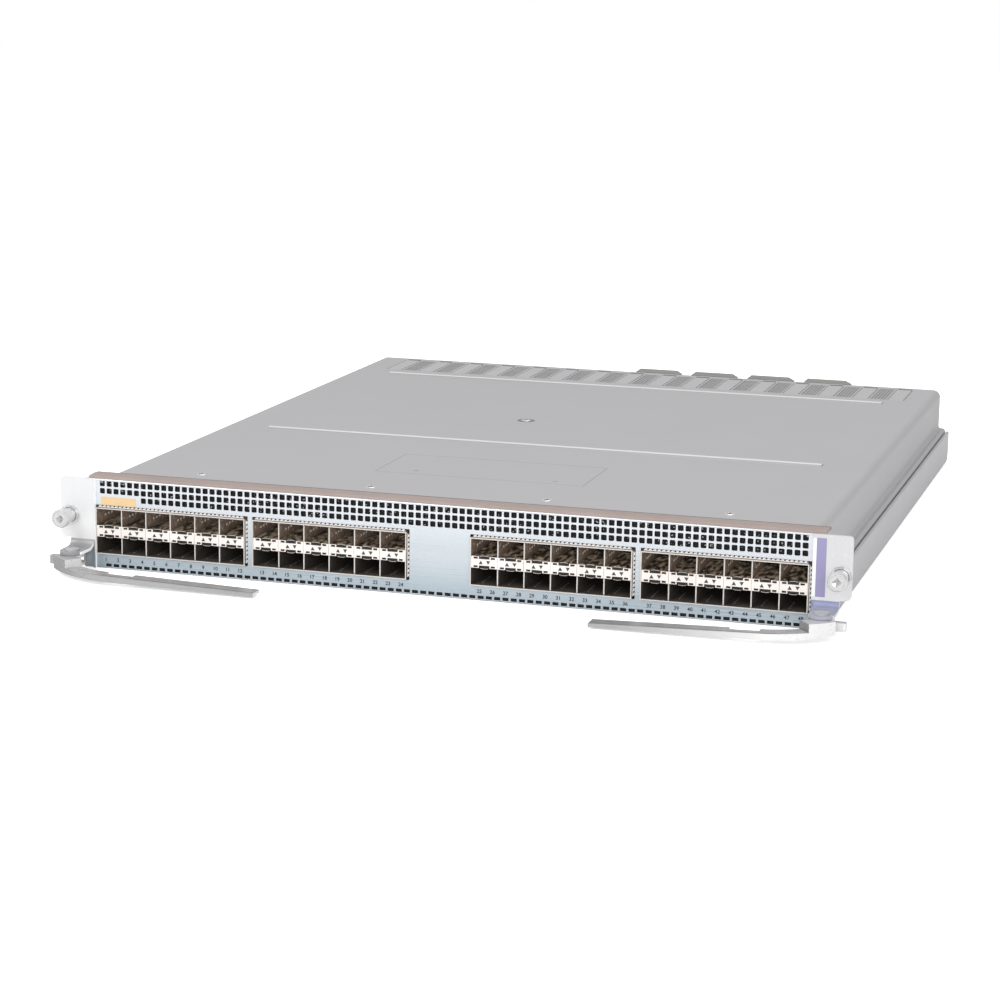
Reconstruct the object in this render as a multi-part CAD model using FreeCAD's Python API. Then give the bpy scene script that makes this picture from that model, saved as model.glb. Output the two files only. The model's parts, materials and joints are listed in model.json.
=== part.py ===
import FreeCAD, Part
import math
import os

# Switch line card: a folded-sheet drawer with a perforated faceplate, four ganged
# cages of stacked transceiver ports, ejector levers and captive screws.
# Modelled as X right, Y back from the faceplate's front face, Z up from the underside.

V = FreeCAD.Vector

# ---- Driving dimensions, millimetres and degrees ----

# Enclosure; its width follows from the cages
CARD_DEPTH = 470.0            # faceplate front to the rear edge of tray and cover
TRAY_SHEET = 1.6
TRAY_STEP = 1.9               # side wall's outer face past the faceplate's end
TRAY_WALL_HEIGHT = 20.9
TRAY_BEND = 0.6               # inside radius of the tray's long folds
TRAY_REAR_RADIUS = 8.5        # lead-in on the lower rear corner of a side wall
TRAY_TAB_WIDTH = 5.0          # turned-in tab that the faceplate is spot-welded to
COVER_SHEET = 1.0
COVER_TOP = 48.2
COVER_BEND = 3.7              # inside radius of the cover's top folds
COVER_FLARE_Z = 22.8          # top of the step above the tray's walls
COVER_FLARE_BEND = 1.6
COVER_SKIRT_GAP = 0.8         # cover's skirt to the inside of the tray's wall
COVER_LIP_Y = 5.5             # front edge of the cover's top, under the faceplate's flange
FIT_GAP = 0.3                 # seat clearance between fixed sheets
JOIN_GAP = 0.05               # between faces that meet inside the card

# Embossed beads and rear vents of the cover
BEAD_HALF_LENGTH = 168.0
BEAD_WIDTH = 7.0
BEAD_HEIGHT = 0.9
BEAD_FRONT_Y = 183.0
BEAD_REAR_GAP = 66.0          # from the rear bead to the rear edge
REAR_VENT_COUNT = 15
REAR_VENT_PITCH = 23.0
REAR_VENT_OFFSET_X = 1.9
REAR_VENT_WIDTH = 9.3
REAR_VENT_LENGTH = 42.0
REAR_VENT_EDGE = 8.0          # solid strip left at the rear edge

# Faceplate
FACE_SHEET = 1.0
FACE_TOP = 49.5
FACE_BOTTOM = 0.4
FACE_OVERHANG = 5.0           # faceplate's end past the cover's upper side wall
FACE_FLANGE_DEPTH = 13.5
VENT_ROW_COUNT = 3
VENT_PITCH = 4.0
VENT_SIZE = 2.9
VENT_TOP_GAP = 0.1            # top row to the underside of the flange
VENT_SIDE_GAP = 2.0           # least distance of the outer columns from the ears
VENT_SKIP_COUNT = 6           # columns of the lowest row that are left plain

# Conductive gasket on the faceplate's flange
GASKET_HEIGHT = 1.7
GASKET_FRONT_Y = 2.4
GASKET_DEPTH = 10.2
GASKET_RADIUS = 0.6

# Main board
BOARD_THICKNESS = 2.6
BOARD_SIDE_GAP = 4.5          # board's edge to the inside of the cover's skirt
BOARD_FRONT_Y = 1.6
BOARD_REAR_GAP = 7.0
STANDOFF_HEIGHT = 3.8
STANDOFF_RADIUS = 3.0
STANDOFF_COLUMN_COUNT = 4
STANDOFF_ROW_COUNT = 3
STANDOFF_INSET = 11.0         # outer columns and rear row from the board's edges
STANDOFF_FRONT_Y = 62.0

# Transceiver cages
CAGE_COLUMN_COUNT = 6
PORT_PITCH = 14.25
PAIR_GAP = 4.3                # between the two cages on either side
CENTRE_GAP = 34.9             # between the two cages beside the middle
CAGE_SIDE_GAP = 0.1           # outermost cage to the cover's side wall
FIELD_OFFSET_X = -0.75
CAGE_SHEET = 0.6
CAGE_INNER_HEIGHT = 24.4
CAGE_FRONT_Y = -0.8
CAGE_LENGTH = 49.8
DIVIDER_THICKNESS = 1.0
LOWER_PORT_HEIGHT = 8.9
BAND_HEIGHT = 7.1
BAND_HEAD_DEPTH = 0.9
BAND_FRONT_INSET = 0.1
PORT_CONNECTOR_LENGTH = 14.0
PORT_CONNECTOR_WIDTH = 11.0
GASKET_RING_SIDE = 1.2
GASKET_RING_SETBACK = 0.2     # behind the faceplate's front

# End brackets
BRACKET_SHEET = 1.6
BRACKET_LAP = 6.0             # ear over the faceplate's end
BRACKET_WIDTH = 20.25
BRACKET_TOP = 49.6
EAR_BOTTOM = 16.3
EAR_TOP_RADIUS = 1.8
EAR_LOWER_RADIUS = 3.0
STRIP_WIDTH = 1.3
STRIP_BOTTOM = 0.2
SHELF_TOP = 12.1
SHELF_NOSE_RADIUS = 6.6

# Ejector levers; their lengths run from the pivot towards the middle of the card
PIVOT_INSET = 0.1             # pivot to the outer face of the tray's wall
PIVOT_Y = -14.0
PIVOT_RADIUS = 2.2
PIVOT_CLEARANCE = 0.05
PIVOT_HEAD_RADIUS = 3.8
PIVOT_HEAD_HEIGHT = 0.9
LEVER_SHEET = 1.6
LEVER_LENGTH = 113.8
LEVER_FRONT_Y = -37.0
LEVER_BOSS_RADIUS = 6.4
LEVER_SHELF_GAP = 0.2
WEB_HEAD_Z = 5.9              # top of the lever's web beside the pivot
WEB_TIP_Z = 2.9               # and at the tip, where the arm droops
WEB_FLAT_LENGTH = 5.8         # level stretch of the web from the pivot
LIP_TIP_Z = 0.85
LIP_ELBOW_Z = 2.0
LIP_HEAD_Z = 3.3
ARM_WIDTH = 9.5
ARM_ELBOW_LENGTH = 28.8       # pivot to the start of the curved stretch
ARM_BEND_RADIUS = 49.0
ARM_BEND_ANGLE = 49.0
NOTCH_START = 27.8
NOTCH_LENGTH = 15.5
NOTCH_DEPTH = 3.6
HEAD_START = 3.4
HEAD_RETURN_ANGLE = 129.0
JAW_REACH = 12.6
JAW_WIDTH = 4.6
JAW_CORNER_RADIUS = 1.2

# Captive screws
SCREW_INSET = 5.55            # screw to the ear's outer edge
SCREW_Z = 28.75
SCREW_TRAVEL = 4.0            # the spring is nearly closed at its end
KNOB_RADIUS = 5.0
KNOB_FRONT_Y = -14.4
KNOB_LENGTH = 3.0
KNOB_CHAMFER = 0.5
NECK_RADIUS = 4.0
NECK_LENGTH = 8.4
SHANK_RADIUS = 1.4
THREAD_RADIUS = 1.95
THREAD_LENGTH = 5.0
SLEEVE_FLANGE_RADIUS = 5.5
SLEEVE_FLANGE = 1.1
SLEEVE_RADIUS = 4.9
SLEEVE_FLOOR = 0.8
WASHER_THICKNESS = 0.8
RUN_GAP = 0.2
SPRING_WIRE = 0.6
SPRING_TURN_COUNT = 3
SPRING_STEP_COUNT = 6         # straight steps in one turn

# Cover screws
COVER_SCREW_COUNT = 4
COVER_SCREW_PITCH = 98.4
COVER_SCREW_OFFSET_X = -2.0
COVER_SCREW_Y = 36.0
CENTRE_SCREW_X = -29.7
CENTRE_SCREW_Y = 261.0
COVER_SCREW_RADIUS = 1.5
COVER_SCREW_HEAD_RADIUS = 3.0
COVER_SCREW_HEAD_HEIGHT = 0.5
COVER_SCREW_LENGTH = 6.0
POST_RADIUS = 3.4
HEXAGON_SIDE_COUNT = 6
RING_SIDE_COUNT = 12          # of hidden rings and bores
HEAD_SIDE_COUNT = 20          # of small heads, bosses and barrels

# Components on the main board; those at the rear keep their distance from the rear edge
FORWARDING_CHIP_SIZE = 36.0
FORWARDING_CHIP_HEIGHT = 3.2
FORWARDING_CHIP_Y = 120.0
FABRIC_CHIP_SIZE = 46.0
FABRIC_CHIP_X = 96.0
FABRIC_CHIP_REAR_GAP = 145.0
HEAT_SINK_WIDTH = 64.0
HEAT_SINK_DEPTH = 78.0
HEAT_SINK_HEIGHT = 26.0
FABRIC_SINK_SIZE = 96.0
FIN_PITCH = 14.0
FIN_THICKNESS = 1.4
SINK_BASE = 4.5
MEMORY_SIZE = (10.5, 13.0, 1.2)
MEMORY_PITCH = 24.0
MEMORY_Y = 196.0
CONVERTER_COUNT = 3
CONVERTER_SIZE = (36.8, 57.9, 11.6)
CONVERTER_PITCH = 44.0
CONVERTER_X = -160.0
CONVERTER_REAR_GAP = 103.0
CAPACITOR_COUNT = 8
CAPACITOR_SIZE = (7.3, 4.3, 4.0)
CAPACITOR_PITCH = 12.0
CONTROL_BOARD_SIZE = (96.0, 84.0)
CONTROL_BOARD_X = -104.0
CONTROL_BOARD_REAR_GAP = 209.0
CONTROL_BOARD_THICKNESS = 1.6
CONTROL_BOARD_LIFT = 9.0
CONTROL_CHIP_SIZE = 31.0

# Rear connectors
BACKPLANE_COUNT = 4
BACKPLANE_PITCH = 39.0
BACKPLANE_FIRST_X = 4.0
BACKPLANE_WIDTH = 32.0
BACKPLANE_HEIGHT = 38.0
BACKPLANE_REACH = 15.0        # past the card's rear edge
BACKPLANE_LENGTH = 40.0
BACKPLANE_SLOT_COUNT = 4
BACKPLANE_SLOT_WIDTH = 2.4
BACKPLANE_SLOT_DEPTH = 10.0
HOOD_HEIGHT = 2.5             # step of a connector's top behind the cover
KEY_CORNER = (6.0, 12.0)      # bevelled rear right corner, wide and deep
POWER_SOCKET_X = -150.0
POWER_SOCKET_SIZE = (46.0, 30.0, 16.0)
GUIDE_SOCKET_X = (-96.0, 178.0)
GUIDE_SOCKET_SIZE = (12.0, 32.0, 14.0)
GUIDE_BORE_SIZE = 6.0
SOCKET_REACH = 7.5            # power and guide sockets past the rear edge
REAR_PANEL_SHEET = 1.0
REAR_PANEL_INSET = 12.0
REAR_PANEL_GAP = 0.5          # around each connector
REAR_FOOT_WIDTH = 10.0
REAR_FOOT_X = -60.0           # middle foot of the rear panel

# ---- Places worked out from the sizes ----

CAGE_INNER_WIDTH = CAGE_COLUMN_COUNT * PORT_PITCH
CAGE_OUTER_HALF = CAGE_INNER_WIDTH / 2 + CAGE_SHEET
INNER_GROUP_X = CENTRE_GAP / 2 + CAGE_OUTER_HALF
GROUP_PITCH = 2 * CAGE_OUTER_HALF + PAIR_GAP
GROUP_X = [FIELD_OFFSET_X + side * (INNER_GROUP_X + step * GROUP_PITCH)
           for side, step in ((-1, 1), (-1, 0), (1, 0), (1, 1))]
COVER_HALF_WIDTH = -GROUP_X[0] + CAGE_OUTER_HALF + CAGE_SIDE_GAP + COVER_SHEET
FACE_HALF_WIDTH = COVER_HALF_WIDTH + FACE_OVERHANG
TRAY_HALF_WIDTH = FACE_HALF_WIDTH + TRAY_STEP
TRAY_INNER_X = TRAY_HALF_WIDTH - TRAY_SHEET
SKIRT_X = TRAY_INNER_X - COVER_SKIRT_GAP
BOARD_HALF_WIDTH = SKIRT_X - COVER_SHEET - BOARD_SIDE_GAP
COVER_UNDERSIDE = COVER_TOP - COVER_SHEET
FLANGE_UNDERSIDE = FACE_TOP - FACE_SHEET
BOARD_BOTTOM = TRAY_SHEET + STANDOFF_HEIGHT
BOARD_TOP = BOARD_BOTTOM + BOARD_THICKNESS
BOARD_REAR_Y = CARD_DEPTH - BOARD_REAR_GAP
CAGE_FLOOR = BOARD_TOP + CAGE_SHEET
CAGE_CEILING = CAGE_FLOOR + CAGE_INNER_HEIGHT
CAGE_TOP = CAGE_CEILING + CAGE_SHEET
CAGE_REAR_Y = CAGE_FRONT_Y + CAGE_LENGTH
BAND_BOTTOM = CAGE_FLOOR + LOWER_PORT_HEIGHT
BAND_TOP = BAND_BOTTOM + BAND_HEIGHT
BAND_FRONT_Y = CAGE_FRONT_Y + BAND_FRONT_INSET
DIVIDER_FRONT_Y = BAND_FRONT_Y + BAND_HEAD_DEPTH
PORT_WIDTH = PORT_PITCH - DIVIDER_THICKNESS
CONNECTOR_REAR_Y = CAGE_REAR_Y - CAGE_SHEET
CONNECTOR_FRONT_Y = CONNECTOR_REAR_Y - PORT_CONNECTOR_LENGTH
VENT_TOP = FLANGE_UNDERSIDE - VENT_TOP_GAP
BRACKET_INNER_X = FACE_HALF_WIDTH - BRACKET_LAP
BRACKET_OUTER_X = BRACKET_INNER_X + BRACKET_WIDTH
VENT_HALF_COUNT = int((BRACKET_INNER_X - VENT_SIDE_GAP - VENT_SIZE / 2) // VENT_PITCH)
EAR_FRONT_Y = -BRACKET_SHEET
SHELF_BOTTOM = SHELF_TOP - BRACKET_SHEET
LEVER_TOP = SHELF_BOTTOM - LEVER_SHELF_GAP
WEB_BOTTOM_Z = WEB_HEAD_Z - LEVER_SHEET
PIVOT_X = TRAY_HALF_WIDTH - PIVOT_INSET
LEVER_TIP_X = PIVOT_X - LEVER_LENGTH
ARM_BEND_X = PIVOT_X - ARM_ELBOW_LENGTH
HEAD_START_X = PIVOT_X - HEAD_START
SCREW_X = BRACKET_OUTER_X - SCREW_INSET
NECK_REAR_Y = KNOB_FRONT_Y + KNOB_LENGTH + NECK_LENGTH
SLEEVE_BORE_RADIUS = NECK_RADIUS + RUN_GAP
SPRING_CLOSED = (SPRING_TURN_COUNT + 1) * SPRING_WIRE
SLEEVE_FLOOR_Y = NECK_REAR_Y + WASHER_THICKNESS + SCREW_TRAVEL + SPRING_CLOSED + RUN_GAP
SLEEVE_REAR_Y = SLEEVE_FLOOR_Y + SLEEVE_FLOOR
THREAD_FRONT_Y = SLEEVE_REAR_Y + 2 * RUN_GAP
THREAD_REAR_Y = THREAD_FRONT_Y + THREAD_LENGTH
COVER_SCREW_X = [COVER_SCREW_OFFSET_X + (index - (COVER_SCREW_COUNT - 1) / 2) * COVER_SCREW_PITCH
                 for index in range(COVER_SCREW_COUNT)]
FABRIC_CHIP_Y = CARD_DEPTH - FABRIC_CHIP_REAR_GAP
CONVERTER_Y = CARD_DEPTH - CONVERTER_REAR_GAP
CONTROL_BOARD_Y = CARD_DEPTH - CONTROL_BOARD_REAR_GAP
BACKPLANE_X = [BACKPLANE_FIRST_X + index * BACKPLANE_PITCH for index in range(BACKPLANE_COUNT)]
REAR_PANEL_Y = CARD_DEPTH - REAR_PANEL_INSET

# The origin goes under the middle of the whole card's outline.
FRONT_REACH = LEVER_FRONT_Y
REAR_REACH = CARD_DEPTH + BACKPLANE_REACH
TO_ORIGIN = V(0, -(FRONT_REACH + REAR_REACH) / 2, 0)


# ---- Construction helpers ----

def box(x0, x1, y0, y1, z0, z1):
    return Part.makeBox(x1 - x0, y1 - y0, z1 - z0, V(x0, y0, z0))


def centred_box(x, y, z0, width, depth, height):
    return box(x - width / 2, x + width / 2, y - depth / 2, y + depth / 2, z0, z0 + height)


def post(x, y, z0, z1, radius):
    return Part.makeCylinder(radius, z1 - z0, V(x, y, z0), V(0, 0, 1))


def rod(x, y0, y1, z, radius):
    return Part.makeCylinder(radius, y1 - y0, V(x, y0, z), V(0, 1, 0))


def mirrored(shape):
    return shape.mirror(V(0, 0, 0), V(1, 0, 0))


def joined(shapes):
    return shapes[0].fuse(shapes[1:]).removeSplitter()


def on_plane(plane, u, v):
    return {"xy": V(u, v, 0), "xz": V(u, 0, v), "yz": V(0, u, v)}[plane]


def rounded_face(points, radii, plane):
    """A closed outline with each corner rounded to its own radius."""
    edges = []
    count = len(points)
    starts, ends, middles = [], [], []
    for index, (point, radius) in enumerate(zip(points, radii)):
        here = V(point[0], point[1], 0)
        before = V(*points[index - 1], 0) - here
        after = V(*points[(index + 1) % count], 0) - here
        before.normalize()
        after.normalize()
        turn = math.pi - before.getAngle(after)
        reach = radius * math.tan(turn / 2)
        starts.append(here + before * reach)
        ends.append(here + after * reach)
        inward = before + after
        if radius > 0:
            inward.normalize()
            middles.append(here + inward * (radius / math.cos(turn / 2) - radius))
        else:
            middles.append(here)
    for index in range(count):
        if radii[index] > 0:
            corner = [on_plane(plane, p.x, p.y) for p in (starts[index], middles[index], ends[index])]
            edges.append(Part.Arc(*corner).toShape())
        leave, arrive = ends[index], starts[(index + 1) % count]
        if (arrive - leave).Length > 1e-6:
            edges.append(Part.makeLine(on_plane(plane, leave.x, leave.y),
                                       on_plane(plane, arrive.x, arrive.y)))
    return Part.Face(Part.Wire(edges))


def folded_face(path, thickness, bends, plane):
    """The section of a folded sheet: path is one side, the sheet lies to its left."""
    directions = []
    for first, second in zip(path, path[1:]):
        step = V(second[0] - first[0], second[1] - first[1], 0)
        step.normalize()
        directions.append(step)
    normals = [V(-step.y, step.x, 0) for step in directions]
    far_side, near_radii, far_radii = [], [], []
    for index, point in enumerate(path):
        here = V(point[0], point[1], 0)
        if index in (0, len(path) - 1):
            normal = normals[0] if index == 0 else normals[-1]
            far_side.append(here + normal * thickness)
            near_radii.append(0)
            far_radii.append(0)
            continue
        one, two = normals[index - 1], normals[index]
        far_side.append(here + (one + two) * (thickness / (1 + one.dot(two))))
        bend = bends[index - 1]
        turns_left = directions[index - 1].cross(directions[index]).z > 0
        near_radii.append(bend + thickness if turns_left else bend)
        far_radii.append(bend if turns_left else bend + thickness)
    points = list(path) + [(p.x, p.y) for p in reversed(far_side)]
    return rounded_face(points, near_radii + far_radii[::-1], plane)


def drawn_out(face, start, step):
    """The solid that a face sweeps, turned right side out whichever way the face looks."""
    solid = face.translated(start).extrude(step)
    return solid if solid.Volume > 0 else solid.reversed()


def along_y(face, y0, y1):
    return drawn_out(face, V(0, y0, 0), V(0, y1 - y0, 0))


def along_x(face, x0, x1):
    return drawn_out(face, V(x0, 0, 0), V(x1 - x0, 0, 0))


def along_z(face, z0, z1):
    return drawn_out(face, V(0, 0, z0), V(0, 0, z1 - z0))


def sided_outline(u, v, radius, sides, plane):
    """A regular outline; radius is half the distance across its flats."""
    corner = radius / math.cos(math.pi / sides)
    turns = [math.pi * (2 * index + 1) / sides for index in range(sides)]
    points = [(u + corner * math.cos(turn), v + corner * math.sin(turn)) for turn in turns]
    return rounded_face(points, [0] * sides, plane)


def sided_post(x, y, z0, z1, radius, sides=HEXAGON_SIDE_COUNT):
    return along_z(sided_outline(x, y, radius, sides, "xy"), z0, z1)


def sided_rod(x, y0, y1, z, radius, sides=HEXAGON_SIDE_COUNT):
    return along_y(sided_outline(x, z, radius, sides, "xz"), y0, y1)


# ---- Enclosure ----

def base_tray():
    """Folded steel drawer: floor, two side walls and the welding tabs at the front."""
    section = folded_face([(-TRAY_HALF_WIDTH, TRAY_WALL_HEIGHT), (-TRAY_HALF_WIDTH, 0),
                           (TRAY_HALF_WIDTH, 0), (TRAY_HALF_WIDTH, TRAY_WALL_HEIGHT)],
                          TRAY_SHEET, [TRAY_BEND, TRAY_BEND], "xz")
    tray = along_y(section, 0, CARD_DEPTH)
    behind_face = FACE_HALF_WIDTH + FIT_GAP / 2
    tray = tray.cut(box(-behind_face, behind_face, -1, FACE_SHEET, -1, TRAY_WALL_HEIGHT))
    corner = box(-TRAY_HALF_WIDTH - 1, TRAY_HALF_WIDTH + 1, CARD_DEPTH - TRAY_REAR_RADIUS,
                 CARD_DEPTH + 1, -1, TRAY_REAR_RADIUS)
    lead_in = Part.makeCylinder(TRAY_REAR_RADIUS, 2 * TRAY_HALF_WIDTH + 4,
                                V(-TRAY_HALF_WIDTH - 2, CARD_DEPTH - TRAY_REAR_RADIUS,
                                  TRAY_REAR_RADIUS), V(1, 0, 0))
    tray = tray.cut(corner.cut(lead_in))
    tab = box(TRAY_INNER_X - TRAY_TAB_WIDTH, TRAY_INNER_X, FACE_SHEET, FACE_SHEET + TRAY_SHEET,
              TRAY_SHEET, TRAY_WALL_HEIGHT)
    return joined([tray, tab, mirrored(tab)])


def cover_beads():
    """Raised beads pressed into the cover's top, as one body above and one below."""
    raised, hollow = [], []
    for y in (BEAD_FRONT_Y, CARD_DEPTH - BEAD_REAR_GAP):
        for level, found in ((COVER_TOP, raised), (COVER_UNDERSIDE, hollow)):
            left, right = y - BEAD_WIDTH / 2, y + BEAD_WIDTH / 2
            base = level - COVER_SHEET / 4 if found is raised else level
            edges = [Part.Arc(V(0, left, level), V(0, y, level + BEAD_HEIGHT),
                              V(0, right, level)).toShape(),
                     Part.makeLine(V(0, right, level), V(0, right, base - 0.1)),
                     Part.makeLine(V(0, right, base - 0.1), V(0, left, base - 0.1)),
                     Part.makeLine(V(0, left, base - 0.1), V(0, left, level))]
            half = BEAD_HALF_LENGTH if found is raised else BEAD_HALF_LENGTH - COVER_SHEET
            found.append(along_x(Part.Face(Part.Wire(edges)), -half, half))
    return raised, hollow


def rear_vent_x():
    return [REAR_VENT_OFFSET_X + (index - (REAR_VENT_COUNT - 1) / 2) * REAR_VENT_PITCH
            for index in range(REAR_VENT_COUNT)]


def top_cover():
    """Folded cover: flat top, side walls, an outward step and a skirt inside the tray."""
    half = [(SKIRT_X, TRAY_SHEET), (SKIRT_X, COVER_FLARE_Z), (COVER_HALF_WIDTH, COVER_FLARE_Z),
            (COVER_HALF_WIDTH, COVER_TOP)]
    path = half + [(-x, z) for x, z in reversed(half)]
    convex = COVER_FLARE_BEND - COVER_SHEET / 2
    bends = [convex, COVER_FLARE_BEND, COVER_BEND, COVER_BEND, COVER_FLARE_BEND, convex]
    cover = along_y(folded_face(path, COVER_SHEET, bends, "xz"), FACE_SHEET + JOIN_GAP, CARD_DEPTH)
    tab_rear = FACE_SHEET + TRAY_SHEET + FIT_GAP
    notch_width = SKIRT_X - COVER_HALF_WIDTH + 2 * COVER_SHEET
    for side in (-1, 1):
        inner, outer = sorted((side * (SKIRT_X - notch_width), side * (SKIRT_X + 1)))
        cover = cover.cut(box(inner, outer, 0, tab_rear, 0, TRAY_WALL_HEIGHT + FIT_GAP))
    corner = box(-SKIRT_X - 1, SKIRT_X + 1, CARD_DEPTH - TRAY_REAR_RADIUS, CARD_DEPTH + 1,
                 0, TRAY_REAR_RADIUS)
    flat = COVER_HALF_WIDTH - COVER_BEND - COVER_SHEET
    cover = cover.cut([corner, box(-flat, flat, 0, COVER_LIP_Y, COVER_UNDERSIDE - 1, COVER_TOP + 1)])
    raised, hollow = cover_beads()
    cover = cover.fuse(raised)
    holes = list(hollow)
    vent_rear = CARD_DEPTH - REAR_VENT_EDGE
    for x in rear_vent_x():
        holes.append(box(x - REAR_VENT_WIDTH / 2, x + REAR_VENT_WIDTH / 2,
                         vent_rear - REAR_VENT_LENGTH, vent_rear, COVER_UNDERSIDE - 1, COVER_TOP + 1))
    for x, y in cover_screw_places():
        holes.append(sided_post(x, y, COVER_UNDERSIDE - 1, COVER_TOP + 1, COVER_SCREW_RADIUS))
    return cover.cut(holes).removeSplitter()


def rear_panel():
    """Rear closing sheet, notched round every connector."""
    half = COVER_HALF_WIDTH - COVER_SHEET - JOIN_GAP
    panel = box(-half, half, REAR_PANEL_Y - REAR_PANEL_SHEET, REAR_PANEL_Y, BOARD_TOP + REAR_PANEL_GAP,
                COVER_UNDERSIDE - JOIN_GAP)
    corner = COVER_BEND + REAR_PANEL_GAP
    for side in (-1, 1):
        panel = panel.cut(centred_box(side * half, REAR_PANEL_Y, COVER_UNDERSIDE - corner,
                                      2 * corner, 10, 2 * corner))
    foot_x = (REAR_FOOT_WIDTH - half, REAR_FOOT_X, half - REAR_FOOT_WIDTH)
    feet = [box(x - REAR_FOOT_WIDTH / 2, x + REAR_FOOT_WIDTH / 2, REAR_PANEL_Y - REAR_PANEL_SHEET,
                REAR_PANEL_Y, BOARD_TOP, BOARD_TOP + REAR_PANEL_GAP) for x in foot_x]
    panel = joined([panel] + feet)
    notches = [(x, BACKPLANE_WIDTH, BACKPLANE_HEIGHT) for x in BACKPLANE_X]
    notches.append((POWER_SOCKET_X, POWER_SOCKET_SIZE[0], POWER_SOCKET_SIZE[2]))
    notches += [(x, GUIDE_SOCKET_SIZE[0], GUIDE_SOCKET_SIZE[2]) for x in GUIDE_SOCKET_X]
    tools = [centred_box(x, REAR_PANEL_Y, 0, width + 2 * REAR_PANEL_GAP, 10,
                         BOARD_TOP + height + REAR_PANEL_GAP) for x, width, height in notches]
    return panel.cut(tools)


def cover_screw_places():
    return [(x, COVER_SCREW_Y) for x in COVER_SCREW_X] + [(CENTRE_SCREW_X, CENTRE_SCREW_Y)]


def cover_posts():
    """Threaded spacers under each cover screw, four on the cages and one on the board."""
    posts = []
    for x, y in cover_screw_places():
        foot = CAGE_TOP if y == COVER_SCREW_Y else BOARD_TOP
        spacer = sided_post(x, y, foot, COVER_UNDERSIDE, POST_RADIUS)
        posts.append(spacer.cut(sided_post(x, y, COVER_TOP - COVER_SCREW_LENGTH, COVER_TOP,
                                           COVER_SCREW_RADIUS)))
    return Part.makeCompound(posts)


def cover_screws():
    """Low flat-headed screws that hold the cover down on its spacers."""
    screws = []
    for x, y in cover_screw_places():
        shank = sided_post(x, y, COVER_TOP - COVER_SCREW_LENGTH, COVER_TOP, COVER_SCREW_RADIUS)
        head = sided_post(x, y, COVER_TOP, COVER_TOP + COVER_SCREW_HEAD_HEIGHT,
                          COVER_SCREW_HEAD_RADIUS, HEAD_SIDE_COUNT)
        screws.append(joined([shank, head]))
    return Part.makeCompound(screws)


# ---- Faceplate ----

def vent_holes():
    """Square holes in three rows; the lowest row leaves room for a label on the left."""
    holes = []
    for row in range(VENT_ROW_COUNT):
        z = VENT_TOP - VENT_SIZE - row * VENT_PITCH
        first = VENT_SKIP_COUNT if row == VENT_ROW_COUNT - 1 else 0
        for column in range(first - VENT_HALF_COUNT, VENT_HALF_COUNT + 1):
            left = column * VENT_PITCH - VENT_SIZE / 2
            holes.append(box(left, left + VENT_SIZE, -1, FACE_SHEET + 0.5, z, z + VENT_SIZE))
    return holes


def cage_window(x, y0, y1, margin):
    """The space of a cage's outside, grown by a margin on all four sides."""
    half = CAGE_OUTER_HALF + margin
    return box(x - half, x + half, y0, y1, BOARD_TOP - margin, CAGE_TOP + margin)


def faceplate():
    """Perforated sheet with a rearward flange along its top."""
    section = folded_face([(FACE_FLANGE_DEPTH, FACE_TOP), (0, FACE_TOP), (0, FACE_BOTTOM)],
                          FACE_SHEET, [0], "yz")
    plate = along_x(section, -FACE_HALF_WIDTH, FACE_HALF_WIDTH)
    windows = [cage_window(x, -1, FACE_SHEET + 1, GASKET_RING_SIDE) for x in GROUP_X]
    return plate.cut(vent_holes() + windows)


def top_gasket():
    """Conductive fabric strip over foam, stuck along the faceplate's flange."""
    rear = GASKET_FRONT_Y + GASKET_DEPTH
    top = FACE_TOP + GASKET_HEIGHT
    points = [(GASKET_FRONT_Y, FACE_TOP), (rear, FACE_TOP), (rear, top), (GASKET_FRONT_Y, top)]
    return along_x(rounded_face(points, [0, 0, GASKET_RADIUS, GASKET_RADIUS], "yz"),
                   -FACE_HALF_WIDTH, FACE_HALF_WIDTH)


# ---- Board and ports ----

def board_outline():
    return box(-BOARD_HALF_WIDTH, BOARD_HALF_WIDTH, BOARD_FRONT_Y, BOARD_REAR_Y, BOARD_BOTTOM, BOARD_TOP)


def standoff_places():
    """A grid from the outer columns inwards, between the front row and the board's rear."""
    outer_x = BOARD_HALF_WIDTH - STANDOFF_INSET
    step_x = 2 * outer_x / (STANDOFF_COLUMN_COUNT - 1)
    step_y = (BOARD_REAR_Y - STANDOFF_INSET - STANDOFF_FRONT_Y) / (STANDOFF_ROW_COUNT - 1)
    return [(column * step_x - outer_x, STANDOFF_FRONT_Y + row * step_y)
            for column in range(STANDOFF_COLUMN_COUNT) for row in range(STANDOFF_ROW_COUNT)]


def board_standoffs():
    return Part.makeCompound([sided_post(x, y, TRAY_SHEET, BOARD_BOTTOM, STANDOFF_RADIUS)
                              for x, y in standoff_places()])


def port_cage(x):
    """Stamped sheet housing of twelve ports, open at the front."""
    outside = cage_window(x, CAGE_FRONT_Y, CAGE_REAR_Y, 0)
    half = CAGE_INNER_WIDTH / 2
    return outside.cut(box(x - half, x + half, CAGE_FRONT_Y - 1, CONNECTOR_REAR_Y, CAGE_FLOOR, CAGE_CEILING))


def cage_dividers(x):
    """Upright plates between the port columns, behind the light guide's face."""
    plates = []
    for index in range(1, CAGE_COLUMN_COUNT):
        here = x + (index - CAGE_COLUMN_COUNT / 2) * PORT_PITCH
        plates.append(box(here - DIVIDER_THICKNESS / 2, here + DIVIDER_THICKNESS / 2,
                          DIVIDER_FRONT_Y, CONNECTOR_REAR_Y, CAGE_FLOOR, CAGE_CEILING))
    return Part.makeCompound(plates)


def column_x(x):
    return [x + (index + 0.5 - CAGE_COLUMN_COUNT / 2) * PORT_PITCH
            for index in range(CAGE_COLUMN_COUNT)]


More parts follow.
